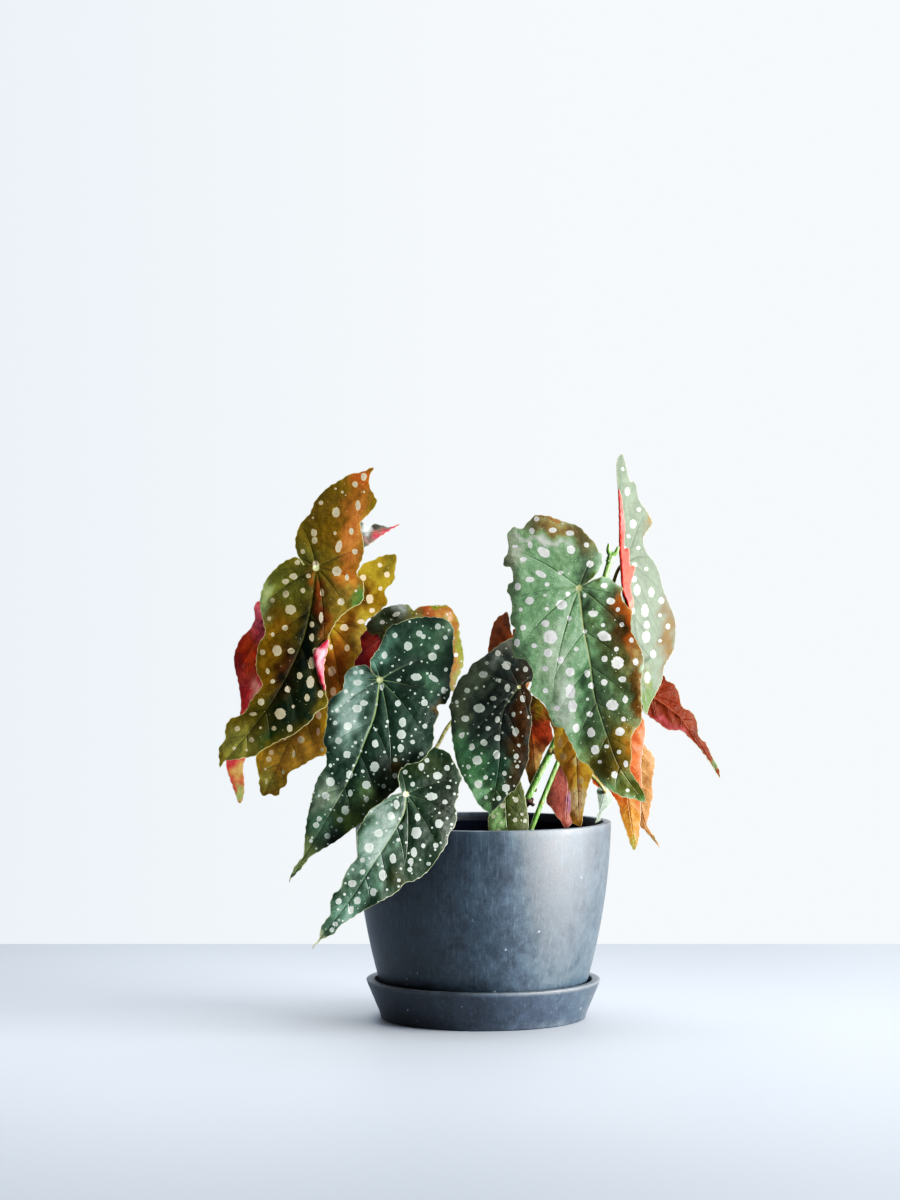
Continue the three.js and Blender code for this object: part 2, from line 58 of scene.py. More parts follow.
# %% Place the camera at the viewpoint of the outlines
EYE = np.array([-20.8, -1795.0, 260.6])
LENS_MM = 86.0
SENSOR_MM = 36.0
PICTURE = np.array([900.0, 1200.0])
MIDDLE = PICTURE / 2
LENS = LENS_MM / SENSOR_MM * PICTURE[1]
TONE_POINTS = ((0.03, 0.017), (0.12, 0.11), (0.3, 0.38), (0.6, 0.67))
ALL_CHANNELS = 3


def placed(name, data):
    """An object of the scene that holds some data."""
    thing = bpy.data.objects.new(name, data)
    scene.collection.objects.link(thing)
    return thing


camera = placed("camera", bpy.data.cameras.new("camera"))
camera.data.lens = LENS_MM
camera.data.sensor_width = SENSOR_MM
camera.location = EYE * MM
camera.rotation_euler = (math.pi / 2, 0, 0)
scene.camera = camera
scene.view_settings.view_transform = "Standard"
scene.view_settings.use_curve_mapping = True
tone_curve = scene.view_settings.curve_mapping
for x, y in TONE_POINTS:
    tone_curve.curves[ALL_CHANNELS].points.new(x, y)
tone_curve.update()
print("lens in picture points:", round(LENS, 1))


# %% Lines of sight
def sight(points):
    """The direction of sight through picture points, one step of 1 in depth long."""
    points = np.asarray(points, float)
    x = (points[..., 0] - MIDDLE[0]) / LENS
    z = -(points[..., 1] - MIDDLE[1]) / LENS
    return np.stack([x, np.ones_like(x), z], -1)


def at_depth(x, y, depth):
    """The place in mm that lies behind a picture point at a depth."""
    return EYE + sight((x, y)) * (depth - EYE[1])


def unit(vector):
    return vector / np.linalg.norm(vector)


def traced(text):
    """A list of picture points written as "x,y x,y ..."."""
    return np.array([[float(v) for v in pair.split(",")] for pair in text.split()])


# %% [markdown]
# ## A small kit for materials
# Every finish below is a short chain of nodes. `put` adds one node, sets its options and
# fills or links its inputs, so that a chain reads from top to bottom. The other helpers are
# the few nodes that every finish here needs.

# %% Helpers for node trees
def put(tree, kind, inputs=(), **options):
    """Adds a node, sets its options, and fills or links its inputs."""
    node = tree.nodes.new(kind)
    for option, value in options.items():
        setattr(node, option, value)
    for socket, value in dict(inputs).items():
        if isinstance(value, bpy.types.NodeSocket):
            tree.links.new(value, node.inputs[socket])
        else:
            node.inputs[socket].default_value = value
    return node


def maths(tree, operation, *values):
    return put(tree, "ShaderNodeMath", dict(enumerate(values)), operation=operation).outputs[0]


def ramp(tree, value, low, high, to_low=0.0, to_high=1.0):
    """A smooth step of a value from low to high."""
    inputs = {"Value": value, "From Min": low, "From Max": high, "To Min": to_low, "To Max": to_high}
    return put(tree, "ShaderNodeMapRange", inputs, interpolation_type="SMOOTHSTEP").outputs[0]


def noise(tree, where, scale, detail=3.0, rough=0.55, distortion=0.0):
    inputs = {"Vector": where, "Scale": scale, "Detail": detail, "Roughness": rough,
              "Distortion": distortion}
    return put(tree, "ShaderNodeTexNoise", inputs).outputs[0]


def bump(tree, height, strength, distance, normal=None):
    inputs = {"Height": height, "Strength": strength, "Distance": distance}
    if normal is not None:
        inputs["Normal"] = normal
    return put(tree, "ShaderNodeBump", inputs).outputs[0]


def own_place(tree):
    """Coordinates that stay with the piece."""
    return put(tree, "ShaderNodeTexCoord").outputs["Object"]


def stored(tree, name, output="Fac"):
    """What the piece's own mesh holds under a name."""
    return put(tree, "ShaderNodeAttribute", attribute_name=name).outputs[output]


# %% Helpers for colours
def linear(colour):
    """A colour written as six hexadecimal digits, as linear RGB."""
    channels = np.array([int(colour[i:i + 2], 16) for i in (0, 2, 4)]) / 255
    return np.where(channels < 0.04045, channels / 12.92, ((channels + 0.055) / 1.055) ** 2.4)


def shade(colour):
    return (*linear(colour), 1.0)


def blend(tree, share, under, over):
    """One colour over another by a share."""
    return put(tree, "ShaderNodeMix", {0: share, 6: under, 7: over}, data_type="RGBA").outputs[2]


def layered(tree, colour, layers):
    """Colours written as digits laid over a colour, each by its own share."""
    for share, over in layers:
        colour = blend(tree, share, colour, shade(over))
    return colour


def retinted(tree, colour, value, saturation=1.0):
    inputs = {"Color": colour, "Saturation": saturation, "Value": value}
    return put(tree, "ShaderNodeHueSaturation", inputs).outputs[0]


# %% Helpers that begin and end a material
def new_material(name):
    material = bpy.data.materials.new(name)
    material.use_nodes = True
    material.node_tree.nodes.clear()
    return material, material.node_tree


def finish_material(tree, shader):
    put(tree, "ShaderNodeOutputMaterial", {"Surface": shader})


def finish_opaque(tree, inputs):
    """Ends a material that is one opaque shader."""
    finish_material(tree, put(tree, "ShaderNodeBsdfPrincipled", inputs).outputs[0])


# %% Helpers for pieces
def new_piece(name, vertices, faces, material, smooth=True):
    """A mesh object whose place is in its mesh."""
    mesh = bpy.data.meshes.new(name)
    mesh.from_pydata(np.asarray(vertices).tolist(), [], faces)
    mesh.materials.append(material)
    mesh.polygons.foreach_set("use_smooth", [smooth] * len(mesh.polygons))
    return placed(name, mesh)


def stand_for(piece, node):
    """The piece stands for a node of the frame and moves with its body."""
    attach(piece, "root")
    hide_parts(node)


def triangles(piece):
    piece.data.calc_loop_triangles()
    return len(piece.data.loop_triangles)


# %% [markdown]
# ## Table and light
# The plant stands on a pale table in a white room with its window at the right. The table
# ends behind the plant and the room beyond is only a pale world, so no wall blocks the
# view from behind. The world looks pale to the eye but lights softly; the window is a large
# panel at the right, a second one stands for the bright wall behind, and a third for the
# ceiling. The front left of the room stays dark, which gives the pot its shaded side.

# %% Table
TABLE_LEFT = -0.5
TABLE_RIGHT = 1.6
TABLE_FRONT = -0.75
TABLE_BACK = 0.377
PAINTED_LIGHT_SPOT = (-0.1, -0.06, 0.0)

table_material, tree = new_material("pale_table")
coords = own_place(tree)
clouds = noise(tree, coords, 6.0, 4.0)
grain = noise(tree, coords, 220.0, 2.0)
# Painted light: the table is lighter round a spot beside the pot, which lifts the pot's shadow, and darker
# further out.
beside = put(tree, "ShaderNodeVectorMath", {0: coords, 1: PAINTED_LIGHT_SPOT}, operation="SUBTRACT")
away = put(tree, "ShaderNodeVectorMath", {0: beside.outputs[0]}, operation="LENGTH").outputs["Value"]
near = blend(tree, clouds, shade("b8c0ca"), shade("bfc6cf"))
colour = layered(tree, near, [(ramp(tree, away, 0.1, 0.65), "969ea8")])
finish_opaque(tree, {"Base Color": colour, "Roughness": 0.5, "Specular IOR Level": 0.2,
                     "Normal": bump(tree, grain, 0.04, 0.0002)})

corners = [(TABLE_LEFT, TABLE_FRONT, 0), (TABLE_RIGHT, TABLE_FRONT, 0),
           (TABLE_RIGHT, TABLE_BACK, 0), (TABLE_LEFT, TABLE_BACK, 0)]
table = new_piece("table", corners, [(0, 1, 2, 3)], table_material, smooth=False)
print("table ends", TABLE_BACK, "m behind the pot")

# %% World
BRIGHT_WAY = (0.42, 0.86, 0.28)
DARK_ROOM = 0.035
BRIGHT_ROOM = 0.92
SKY = (0.86, 0.93, 1.0, 1.0)

world = bpy.data.worlds.new("room")
scene.world = world
world.use_nodes = True
tree = world.node_tree
tree.nodes.clear()
direction = put(tree, "ShaderNodeTexCoord").outputs["Generated"]
across = put(tree, "ShaderNodeSeparateXYZ", {0: direction}).outputs["X"]
seen = blend(tree, ramp(tree, across, -0.2, 0.05), shade("e6eef6"), shade("f3f8fb"))
pale = put(tree, "ShaderNodeBackground", {"Color": seen, "Strength": 1.0}).outputs[0]
towards = put(tree, "ShaderNodeVectorMath", {0: direction, 1: BRIGHT_WAY},
              operation="DOT_PRODUCT").outputs["Value"]
strength = ramp(tree, towards, -0.4, 0.5, DARK_ROOM, BRIGHT_ROOM)
soft = put(tree, "ShaderNodeBackground", {"Color": SKY, "Strength": strength}).outputs[0]
from_eye = put(tree, "ShaderNodeLightPath").outputs["Is Camera Ray"]
both = put(tree, "ShaderNodeMixShader", {0: from_eye, 1: soft, 2: pale}).outputs[0]
put(tree, "ShaderNodeOutputWorld", {0: both})
print(len(tree.nodes), "nodes in the world")

# %% Lamps
POT_MIDDLE = (0, 0, 0.15)
PLANT_MIDDLE = (0, 0, 0.2)
SUNNY = (1.0, 0.99, 0.98)
WHITE_WALL = (0.97, 0.99, 1.0)


def panel(name, place, aim, size, power, colour):
    """A soft light panel that the eye doesn't see."""
    lamp = bpy.data.lights.new(name, "AREA")
    lamp.shape = "RECTANGLE"
    lamp.size, lamp.size_y = size
    lamp.energy = power
    lamp.color = colour
    light = placed(name, lamp)
    light.location = place
    light.rotation_euler = (Vector(aim) - Vector(place)).to_track_quat("-Z", "Y").to_euler()
    light.visible_camera = False
    print(name, power, "W")


panel("window", (2.75, -0.85, 0.4), POT_MIDDLE, (2.6, 1.1), 400, SUNNY)
panel("wall", (1.6, 2.2, 0.7), PLANT_MIDDLE, (2.6, 1.6), 22, WHITE_WALL)
panel("ceiling", (0.0, 0.6, 2.6), PLANT_MIDDLE, (2.4, 2.4), 50, WHITE_WALL)

# %% [markdown]
# ## Leaf finish
# A real blade is a few layers: a glossy green skin with air-filled silver dots, and a red
# skin below. Seen against the light the two colours add up to olive and rust. The material
# mixes a satin surface with a translucent one and reads everything it draws from the
# blade's own mesh: its tone, the dots, the veins and how near the margin is. So each dot and
# vein stays where it grew, from every side.

# %% What the leaf finish reads
blade_material, tree = new_material("begonia_blade")
flat = put(tree, "ShaderNodeUVMap", uv_map="flat").outputs[0]
tone = stored(tree, "tone", "Color")
rib_tone = stored(tree, "rib_tone", "Color")
dot_tone = stored(tree, "dot_tone", "Color")
edge = stored(tree, "edge")
dot = put(tree, "ShaderNodeSeparateXYZ", {0: stored(tree, "dot", "Vector")})
vein = put(tree, "ShaderNodeSeparateXYZ", {0: stored(tree, "vein", "Vector")})
cloudy = noise(tree, flat, 9.0, 4.0, 0.6)
patchy = noise(tree, flat, 34.0, 4.0, 0.7)
wobble = noise(tree, flat, 60.0, 2.0)
grain = noise(tree, flat, 120.0, 3.0, 0.6)
fine = noise(tree, flat, 420.0, 3.0)
print("5 sizes of noise on the flat pattern")

# %% The skin's tone, a little uneven: clouds of lighter and darker cells
value = maths(tree, "MULTIPLY", ramp(tree, cloudy, 0.3, 0.7, 0.86, 1.14),
              ramp(tree, patchy, 0.3, 0.7, 0.85, 1.15))
value = maths(tree, "MULTIPLY", value, ramp(tree, grain, 0.3, 0.7, 0.87, 1.14))
mottled = retinted(tree, tone, value)
pale_cells = retinted(tree, mottled, 1.5, 0.9)
skin = blend(tree, ramp(tree, fine, 0.4, 0.75, 0.0, 0.4), mottled, pale_cells)

# %% Veins: pale thin lines in a faint painted shade beside them, which fade outwards
PAINTED_VEIN_SHADE = "000000"

off = maths(tree, "ABSOLUTE", vein.outputs["X"])
across_vein = maths(tree, "DIVIDE", off, vein.outputs["Y"])
line = ramp(tree, across_vein, 1.15, 0.5)
beside = ramp(tree, across_vein, 4.2, 1.2)
strong = ramp(tree, vein.outputs["Y"], 0.22, 0.62, 0.05, 0.62)
# Painted shade: the skin darkens a little beside each vein.
skin = layered(tree, skin, [(maths(tree, "MULTIPLY", beside, 0.2), PAINTED_VEIN_SHADE)])
skin = blend(tree, maths(tree, "MULTIPLY", line, strong), skin, rib_tone)

# %% Dots: ellipses with a wobbling edge, silver outside and greyer inside
square = maths(tree, "ADD", maths(tree, "POWER", dot.outputs["X"], 2.0),
               maths(tree, "POWER", dot.outputs["Y"], 2.0))
radius = maths(tree, "ADD", maths(tree, "SQRT", square), ramp(tree, wobble, 0.2, 0.8, -0.14, 0.14))
in_dot = ramp(tree, radius, 1.06, 0.9)
middle = maths(tree, "MULTIPLY", ramp(tree, radius, 0.82, 0.5), ramp(tree, fine, 0.3, 0.65, 0.35, 1.0))
silver = blend(tree, middle, dot_tone, retinted(tree, dot_tone, 0.84))

# %% Fine dots: one in each cell of a Voronoi pattern, of uneven size, where the blade has them
DOT_COVER = 0.86

cells = put(tree, "ShaderNodeTexVoronoi", {"Vector": flat, "Scale": 20.0}, voronoi_dimensions="2D")
chance = put(tree, "ShaderNodeSeparateColor", {0: cells.outputs["Color"]})
reach = maths(tree, "MULTIPLY", ramp(tree, chance.outputs[0], 0.35, 1.0, 0.0, 0.15), dot.outputs["Z"])
fine_dot = ramp(tree, maths(tree, "SUBTRACT", cells.outputs["Distance"], reach), 0.02, -0.02)
any_dot = maths(tree, "MAXIMUM", in_dot, fine_dot)
dotted = blend(tree, maths(tree, "MULTIPLY", any_dot, DOT_COVER), skin, silver)

# %% The knob over the heart and the thin pale margin lie on top
KNOB_PALE = "dbe3a8"
MARGIN_PALE = "dfe2bd"

knob = ramp(tree, vein.outputs["Z"], 2.7, 1.4)
dotted = layered(tree, dotted, [(maths(tree, "MULTIPLY", knob, 0.85), KNOB_PALE)])
rim = ramp(tree, maths(tree, "ADD", edge, maths(tree, "MULTIPLY", wobble, 0.6)), 0.8, 0.4)
rim_colour = layered(tree, dotted, [(0.5, MARGIN_PALE)])
colour = blend(tree, maths(tree, "MULTIPLY", rim, 0.8), dotted, rim_colour)

# %% Relief: fine cells, cushions between the smallest veins, the step down to each vein
cushions = put(tree, "ShaderNodeTexVoronoi", {"Vector": flat, "Scale": 26.0}, voronoi_dimensions="2D",
               feature="SMOOTH_F1").outputs["Distance"]
height = maths(tree, "ADD", maths(tree, "MULTIPLY", fine, 0.22), ramp(tree, across_vein, 0.0, 2.6))
height = maths(tree, "SUBTRACT", height, maths(tree, "MULTIPLY", cushions, 1.1))
height = maths(tree, "ADD", height, maths(tree, "MULTIPLY", grain, 0.8))
relief = bump(tree, height, 0.5, 0.0006)

# %% A satin surface mixed with the glow of light from behind
BLADE_SPECULAR = 0.3
GLOW_SHARE = 0.36
DOT_SHADE = 0.2

gloss = put(tree, "ShaderNodeBsdfPrincipled", {
    "Base Color": colour, "Normal": relief, "Specular IOR Level": BLADE_SPECULAR,
    "Roughness": ramp(tree, patchy, 0.35, 0.7, 0.32, 0.58)})
warm = retinted(tree, colour, 1.25, 1.25)
glow = put(tree, "ShaderNodeBsdfTranslucent", {"Color": warm, "Normal": relief})
share = maths(tree, "SUBTRACT", GLOW_SHARE, maths(tree, "MULTIPLY", any_dot, DOT_SHADE))
both = put(tree, "ShaderNodeMixShader", {0: share, 1: gloss.outputs[0], 2: glow.outputs[0]})
finish_material(tree, both.outputs[0])
print(len(tree.nodes), "nodes in the leaf finish")


# %% Duller finishes for a few leaves
DULLER = (0.2, 0.08)


def with_specular(material, level):
    """A copy of a material with another specular level, a plain number on its shader."""
    duller = material.copy()
    duller.name = f"{material.name}_{round(100 * level):02d}"
    for node in duller.node_tree.nodes:
        if node.type == "BSDF_PRINCIPLED":
            node.inputs["Specular IOR Level"].default_value = level
    return duller


blade_finishes = {level: with_specular(blade_material, level) for level in DULLER}
blade_finishes[BLADE_SPECULAR] = blade_material
print("leaf finishes by specular level:", sorted(blade_finishes))

# %% [markdown]
# ## Leaf patterns
# No two leaves are alike, so each has its own pattern, as a dressmaker's would: where the
# heart (the knob under which the stalk grows) and the tip are, the run of the midrib, the
# outline, the dots as ellipses, and its tones as a base colour with a few soft patches. Besides
# the leaf's own colours, the tones paint light: painted sheen where the blade shines, painted
# shade where other leaves or its own bends darken it, painted glow in olive and orange where
# light comes through, and lighter patches where shade falls.
# A dot is x,y,rx,ry,tilt in picture points and degrees; a tone patch is the same and a colour.
# `depths`, `turn`, `bow` and `wings` say how the flat pattern stands and bends in space.
# `under` marks a leaf that shows its underside, and `at` is where its stalk leaves the cane.
# `large` asks for a finer mesh; `wave`, `relief`, `fine` and `gloss` are how much the blade
# waves at its margin, swells between its veins, carries fine dots and shines.

# %% Leaves at the left
LEAVES = {}
LEAVES["left_top"] = dict(
    heart=(316, 568), tip=(220, 768), rib="310,610 299,650 270,705",
    depths=(-42, -72), turn=-8, bow=7, wings=9, cane="cane_left", at=0.98,
    large=True, wave=1.2, fine=0.35, base="5c5212", rib_tone="5c5c20", silver="a69d84", gloss=0.08,
    outline="""304,565 299,558 296,550 295,542 297,532 301,523 310,513 315,501 327,488 340,480
        350,474 361,472 374,467 370,476 370,487 377,502 369,514 361,522 361,529 363,539 364,552 360,565
        357,574 363,581 364,589 362,602 350,609 338,620 329,636 327,651 324,663 323,676 325,689 328,701
        326,707 320,710 315,714 311,721 302,728 293,735 281,740 270,746 261,751 255,756 244,758 233,760
        225,761 220,768 219,760 219,748 225,739 225,729 230,719 241,715 247,709 250,702 256,694 262,686
        260,679 257,673 256,664 257,653 259,643 264,636 265,631 262,617 260,608 260,599 262,589 267,578
        278,566 287,560 297,557""",
    tones_and_painted_light="""330 520 22 40 0 5c4a06; 354 532 12 40 10 925c2c; 365 478 16 12 0 8c4c14;
        350 500 9 10 0 6c4c14; 306 556 12 12 0 5c5c2a; 302 584 11 20 0 34340c; 290 658 7 12 0 0c1006;
        349 582 12 12 0 a86424; 325 605 12 30 -6 60501c; 326 622 6 14 0 7c5418; 319 604 5 30 -8 743404;
        343 592 9 14 0 6a5c28; 358 597 6 11 0 446030; 280 583 20 24 0 5e6228; 279 623 12 14 0 5a4404;
        263 600 8 22 0 8c9c6c; 268 660 14 40 10 685002; 283 672 8 34 15 3c2002;
        306 655 15 66 12 020f05; 306 622 7 12 0 121604; 308 690 10 16 8 031a08; 286 682 8 12 20 140f05;
        284 712 34 20 -35 061a0a; 262 712 10 10 0 3c3a04; 308 716 10 12 0 061a0a;
        268 738 14 7 -30 142c08; 235 745 22 18 0 76763c""",
    dots="""355,484.4,2.6,3.2 335.6,488.9,1.2 342.3,492.3,1.4 345.6,495.3,.9 321,502.9,2.2
        336,512.5,3.7,5.3 358,505.5,2.5,5.6 364,492,1.2 312.9,517.9,1.2 314,532.9,3,4
        314.6,540.6,2.8,3.8 302.9,551.8,2.4 351.3,531.3,2.2,3.4 338.8,546.6,3,6.4,12 354.8,551.7,2.8
        336.9,571.4,4.6,5 346.9,577.6,2,3.2 356,590.9,1.4 341,601.8,3.6 322.2,592.9,2,4
        321,617.7,2.2,5.5 297.4,562.6,2.6 293.5,576.5,4.2,3.2 285.5,581.6,3.4,2.9 302.7,590.6,2.6
        272.5,600.5,2.6 290.6,609.7,5.6,4.8 269.1,618.6,2.2 285,627.9,3 311.7,637.5,2.5,4
        277.1,650.7,4.7,5.5 311.6,663.3,3.4,6.4 310.4,682.2,4,5.9 307,697.7,2.6,3.8 287.8,689.4,3.2
        267.7,671.3,2,3.2 272.8,681.6,2.4 261.1,702.1,3.5 280.2,713.8,5.5 253,714.1,4.2,1.9
        237.2,728.7,2.6 273.9,728.5,2.4 260.5,727.8,1.4 251.5,739.8,2.6 234.3,748.2,1.8 246.7,750.2,1.4""")
LEAVES["left_behind"] = dict(
    heart=(325, 622), tip=(264, 796), rib="316,680 290,740",
    depths=(-24, -48), turn=-4, bow=4, wings=6, cane="cane_left", at=0.84,
    large=True, wave=1.2, fine=0.35, base="a48c2c", rib_tone="a08c34", silver="e4cfa7", gloss=0.08,
    outline="""357,573 363,564 373,560 381,556 394,554 397,558 395,571 394,581 386,589 385,594
        388,602 384,607 375,615 367,620 365,625 367,630 361,636 361,645 362,651 357,658 354,665 350,690
        342,715 333,740 325,755 320,756 313,759 300,767 290,772 287,778 287,784 280,790 279,795 275,796
        270,794 264,796 261,794 259,784 259,777 257,768 256,757 262,735 272,700 282,665 292,640 300,620
        310,604 320,612 332,600 345,589""",
    tones_and_painted_light="""388 565 10 14 0 6c641c; 364 596 10 18 0 543c04; 379 599 9 14 0 846c10;
        350 620 10 14 0 5c3c08; 328 664 6 10 0 84500c; 338 668 11 36 10 b07420; 362 640 8 20 0 d0b858;
        300 755 34 16 -20 f0d45c; 326 722 8 14 0 ead044; 268 780 8 12 0 d0d068""",
    dots="""379.9,565.2,2.2 363.1,577.9,3.2 386.9,574.7,2.8 380.3,588.8,2.2 369.7,599.2,3.6,4.6
        344.3,627.7,4,3.4 361.1,621.8,3.4,2.4 347.1,648.1,2.6,3.6 330.9,647.1,2,2.8 331.9,671.3,4,5
        333,691.4,3,4.4 318.8,715.5,2.6,4 318.1,731.6,1.8,4 300.9,739.9,3.6 293.8,753.9,1.6,3.6
        271.4,752.6,2.6 268.8,759.3,2.8 265.3,769.2,1.5 283.1,772.3,1.6,2.4 266.2,781.5,1.2,3""")
LEAVES["left_outer"] = dict(
    heart=(272, 618), tip=(241, 803), rib="270,680 255,740",
    depths=(14, 24), turn=38, bow=4, wings=4, cane="cane_left", at=0.78,
    under=True, base="c43c40", gloss=0.2,
    outline="""264,604 259,601 255,604 254,611 255,618 250,629 241,638 235,652 234,660 235,669
        238,681 240,694 241,703 240,715 236,735 228,750 226,761 227,770 232,785 236,796 238,802 241,803
        244,793 244,779 243,768 247,755 262,735 280,712 292,685 298,655 294,630 284,612 276,612""",
    tones_and_painted_light="""255 620 12 18 0 e4788c; 250 655 10 24 0 f4600c; 254 687 5 9 0 f0a898;
        264 650 3 24 0 b84860; 236 728 9 16 0 cc9478; 240 772 8 12 0 c89858; 238 794 6 8 0 a4b070""")
LEAVES["left_rear"] = dict(
    heart=(350, 535), tip=(401, 524), rib="375,532",
    depths=(20, 44), turn=25, bow=2, wings=2, cane="cane_left", at=0.95,
    under=True, base="50564a",
    outline="""360,520 368,528 373,524 377,524 389,527 395,525 401,524 391,530 380,537 372,543
        364,548 355,552 345,548 339,538 344,535 341,527 347,519""",
    tones_and_painted_light="""365 531 5 5 0 dce0dc; 373 526 4 3 0 241c18; 380 532 6 4 0 9c3c34;
        388 532 14 4 -32 b81c48; 366 541 5 3 0 a07874""")
print(len(LEAVES), "leaf patterns so far")

# %% Leaves left of the middle and in it
LEAVES["centre_left"] = dict(
    heart=(380, 680), tip=(289, 883), rib="375,714 366,738 355,766 338,800",
    depths=(-54, -82), turn=-6, bow=6, wings=8, cane="cane_left", at=0.67,
    large=True, wave=1.6, fine=1.0, base="1d3528", rib_tone="a9c88c", silver="bdcbbf",
    outline="""378,677 372,672 370,663 372,657 378,649 383,639 386,631 392,625 399,623 409,619
        422,617 434,617 445,619 452,625 454,632 453,645 454,660 451,672 450,685 451,690 449,698 445,704
        437,706 439,714 434,726 434,738 432,748 426,758 414,772 398,788 381,803 366,818 360,824 351,830
        338,840 320,851 310,857 307,861 300,870 292,878 289,883 290,877 295,866 303,856 304,847 305,834
        307,818 312,796 316,782 320,774 326,765 326,757 326,748 323,742 325,732 327,719 328,704 332,697
        342,690 344,682 345,675 351,668 360,665 368,666 371,671 376,676""",
    tones_and_painted_light="""349 712 13 34 8 8ea89c; 352 680 16 14 0 7c988c; 390 640 10 10 0 4c6a5a;
        430 640 20 16 0 3c5a46; 434 658 12 9 0 223e2a; 445 628 10 8 0 5c7460; 432 684 10 10 0 44644e;
        406 684 8 14 0 0c2416; 380 656 9 9 0 5c7c6e; 440 708 5 6 0 564420; 325 797 12 16 0 82937f;
        322 825 14 14 0 57775f; 350 822 14 12 0 73934e; 374 800 18 16 0 587444; 400 774 9 9 0 3c4818;
        395 768 7 8 0 443c0e; 380 762 10 10 0 12241a; 382 786 9 8 0 1e3018; 308 858 14 18 0 7c8c5c""",
    dots="""395,635.4,2.6 384.5,655.3,2.7,3.7 408.1,646.2,4,4.6 419.3,633.6,3.2 423.3,636.7,2.4
        437.7,626.7,3 445.4,637.7,2.2 436.7,647.2,2.6 432.6,656.8,4.5,3.9 446,669.6,2
        416.2,677.1,5.3,3.6 433.6,678.6,6,2.4,35 398.8,680.2,2.2,1.5 411.2,662.8,1.2 392.6,666.1,1.2
        357.8,682.7,4.4,3 361.5,672.1,2.2 355.3,672.7,1.8 345.9,691.4,2 363.7,703.2,4,2.8
        357.1,708.8,4.8,4 337.2,710.4,2.2 347.8,726.2,4 338.5,740.8,3.4 346.9,754.6,3.6 397.9,703.4,3
        424.5,702.6,3.4 402.5,722.5,3.6,5 401.3,734.5,4.6 400.7,748.2,3.2,4 424.9,726.2,2.4
        412.5,742,2.2 375.2,743.9,3.2,4 376.2,729.7,1.6 387.6,721.6,1.6 374.5,767,4.6,5.2
        355.5,742.6,1.6 395.1,760,2.2 366.5,784.9,4.2 362.7,771.2,1.8 330.4,781.8,4.4 383.6,786.3,2.4
        325.5,795.6,3.6 350.3,793.2,2.4,3.4 345.2,810.3,4,4.6 339.9,819.9,3 319.2,819,2.6 316.2,825,3
        327.5,836,3 310.8,841.1,1.8 366.4,799.2,2.4,3.2""")
LEAVES["centre_rear"] = dict(
    heart=(408, 640), tip=(412, 768), rib="411,700",
    depths=(-24, -28), turn=3, bow=5, wings=7, cane="cane_left", at=0.7,
    base="7c8450", gloss=0.2,
    outline="""367,623 372,619 381,610 390,606 399,604.5 406,604.3 411,607 413.5,611 416,608.5
        420,606.5 428,605.5 441,605 449,606 455,614 459,622 460,635 463,649 464,660 462,670 457,680
        454,691 448,692 438,702 432,722 426,745 412,768 405,750 400,722 396,690 392,656 382,634 375,635
        368,632""",
    tones_and_painted_light="""452 645 6 44 0 9c5c1c; 461 640 4 48 0 747c18; 450 612 8 8 0 a06c20;
        432 611 21 7 0 984c1c; 441 612 8 6 0 b07840; 420 613 5 4 0 6c5408; 447 621 3 8 20 dcac80;
        428 605 20 1.6 0 809428; 388 616 19 14 0 52624c; 386 617 7 6 0 34421c; 373 624 9 7 0 708468;
        403 608 11 5 10 b4c4bc; 378 634 9 2.5 -10 7c8028; 414 611 3 4 0 7c8428""",
    dots="""382.3,622.3,2.6,2.2 396.3,614.3,4,2.3,-30 391,619.5,1.3,1 420,611,.3 430,609,.3
        440,609,.3 449,614,.3 452,632,2 456,655,2.2 447,672,2.5 442,690,2""")
LEAVES["red_inner"] = dict(
    heart=(385, 634), tip=(350, 738), rib="372,690",
    depths=(14, 6), turn=15, bow=3, wings=4, cane="cane_left", at=0.74,
    under=True, base="8c1024",
    outline="""384,626 393,619 402,628 404,645 396,668 385,695 368,720 350,738 345,715 342,690
        340,665 345,645 355,632 368,624 378,622""",
    tones_and_painted_light="433 745 8 20 0 a83048; 372 640 8 20 0 a83c2c")
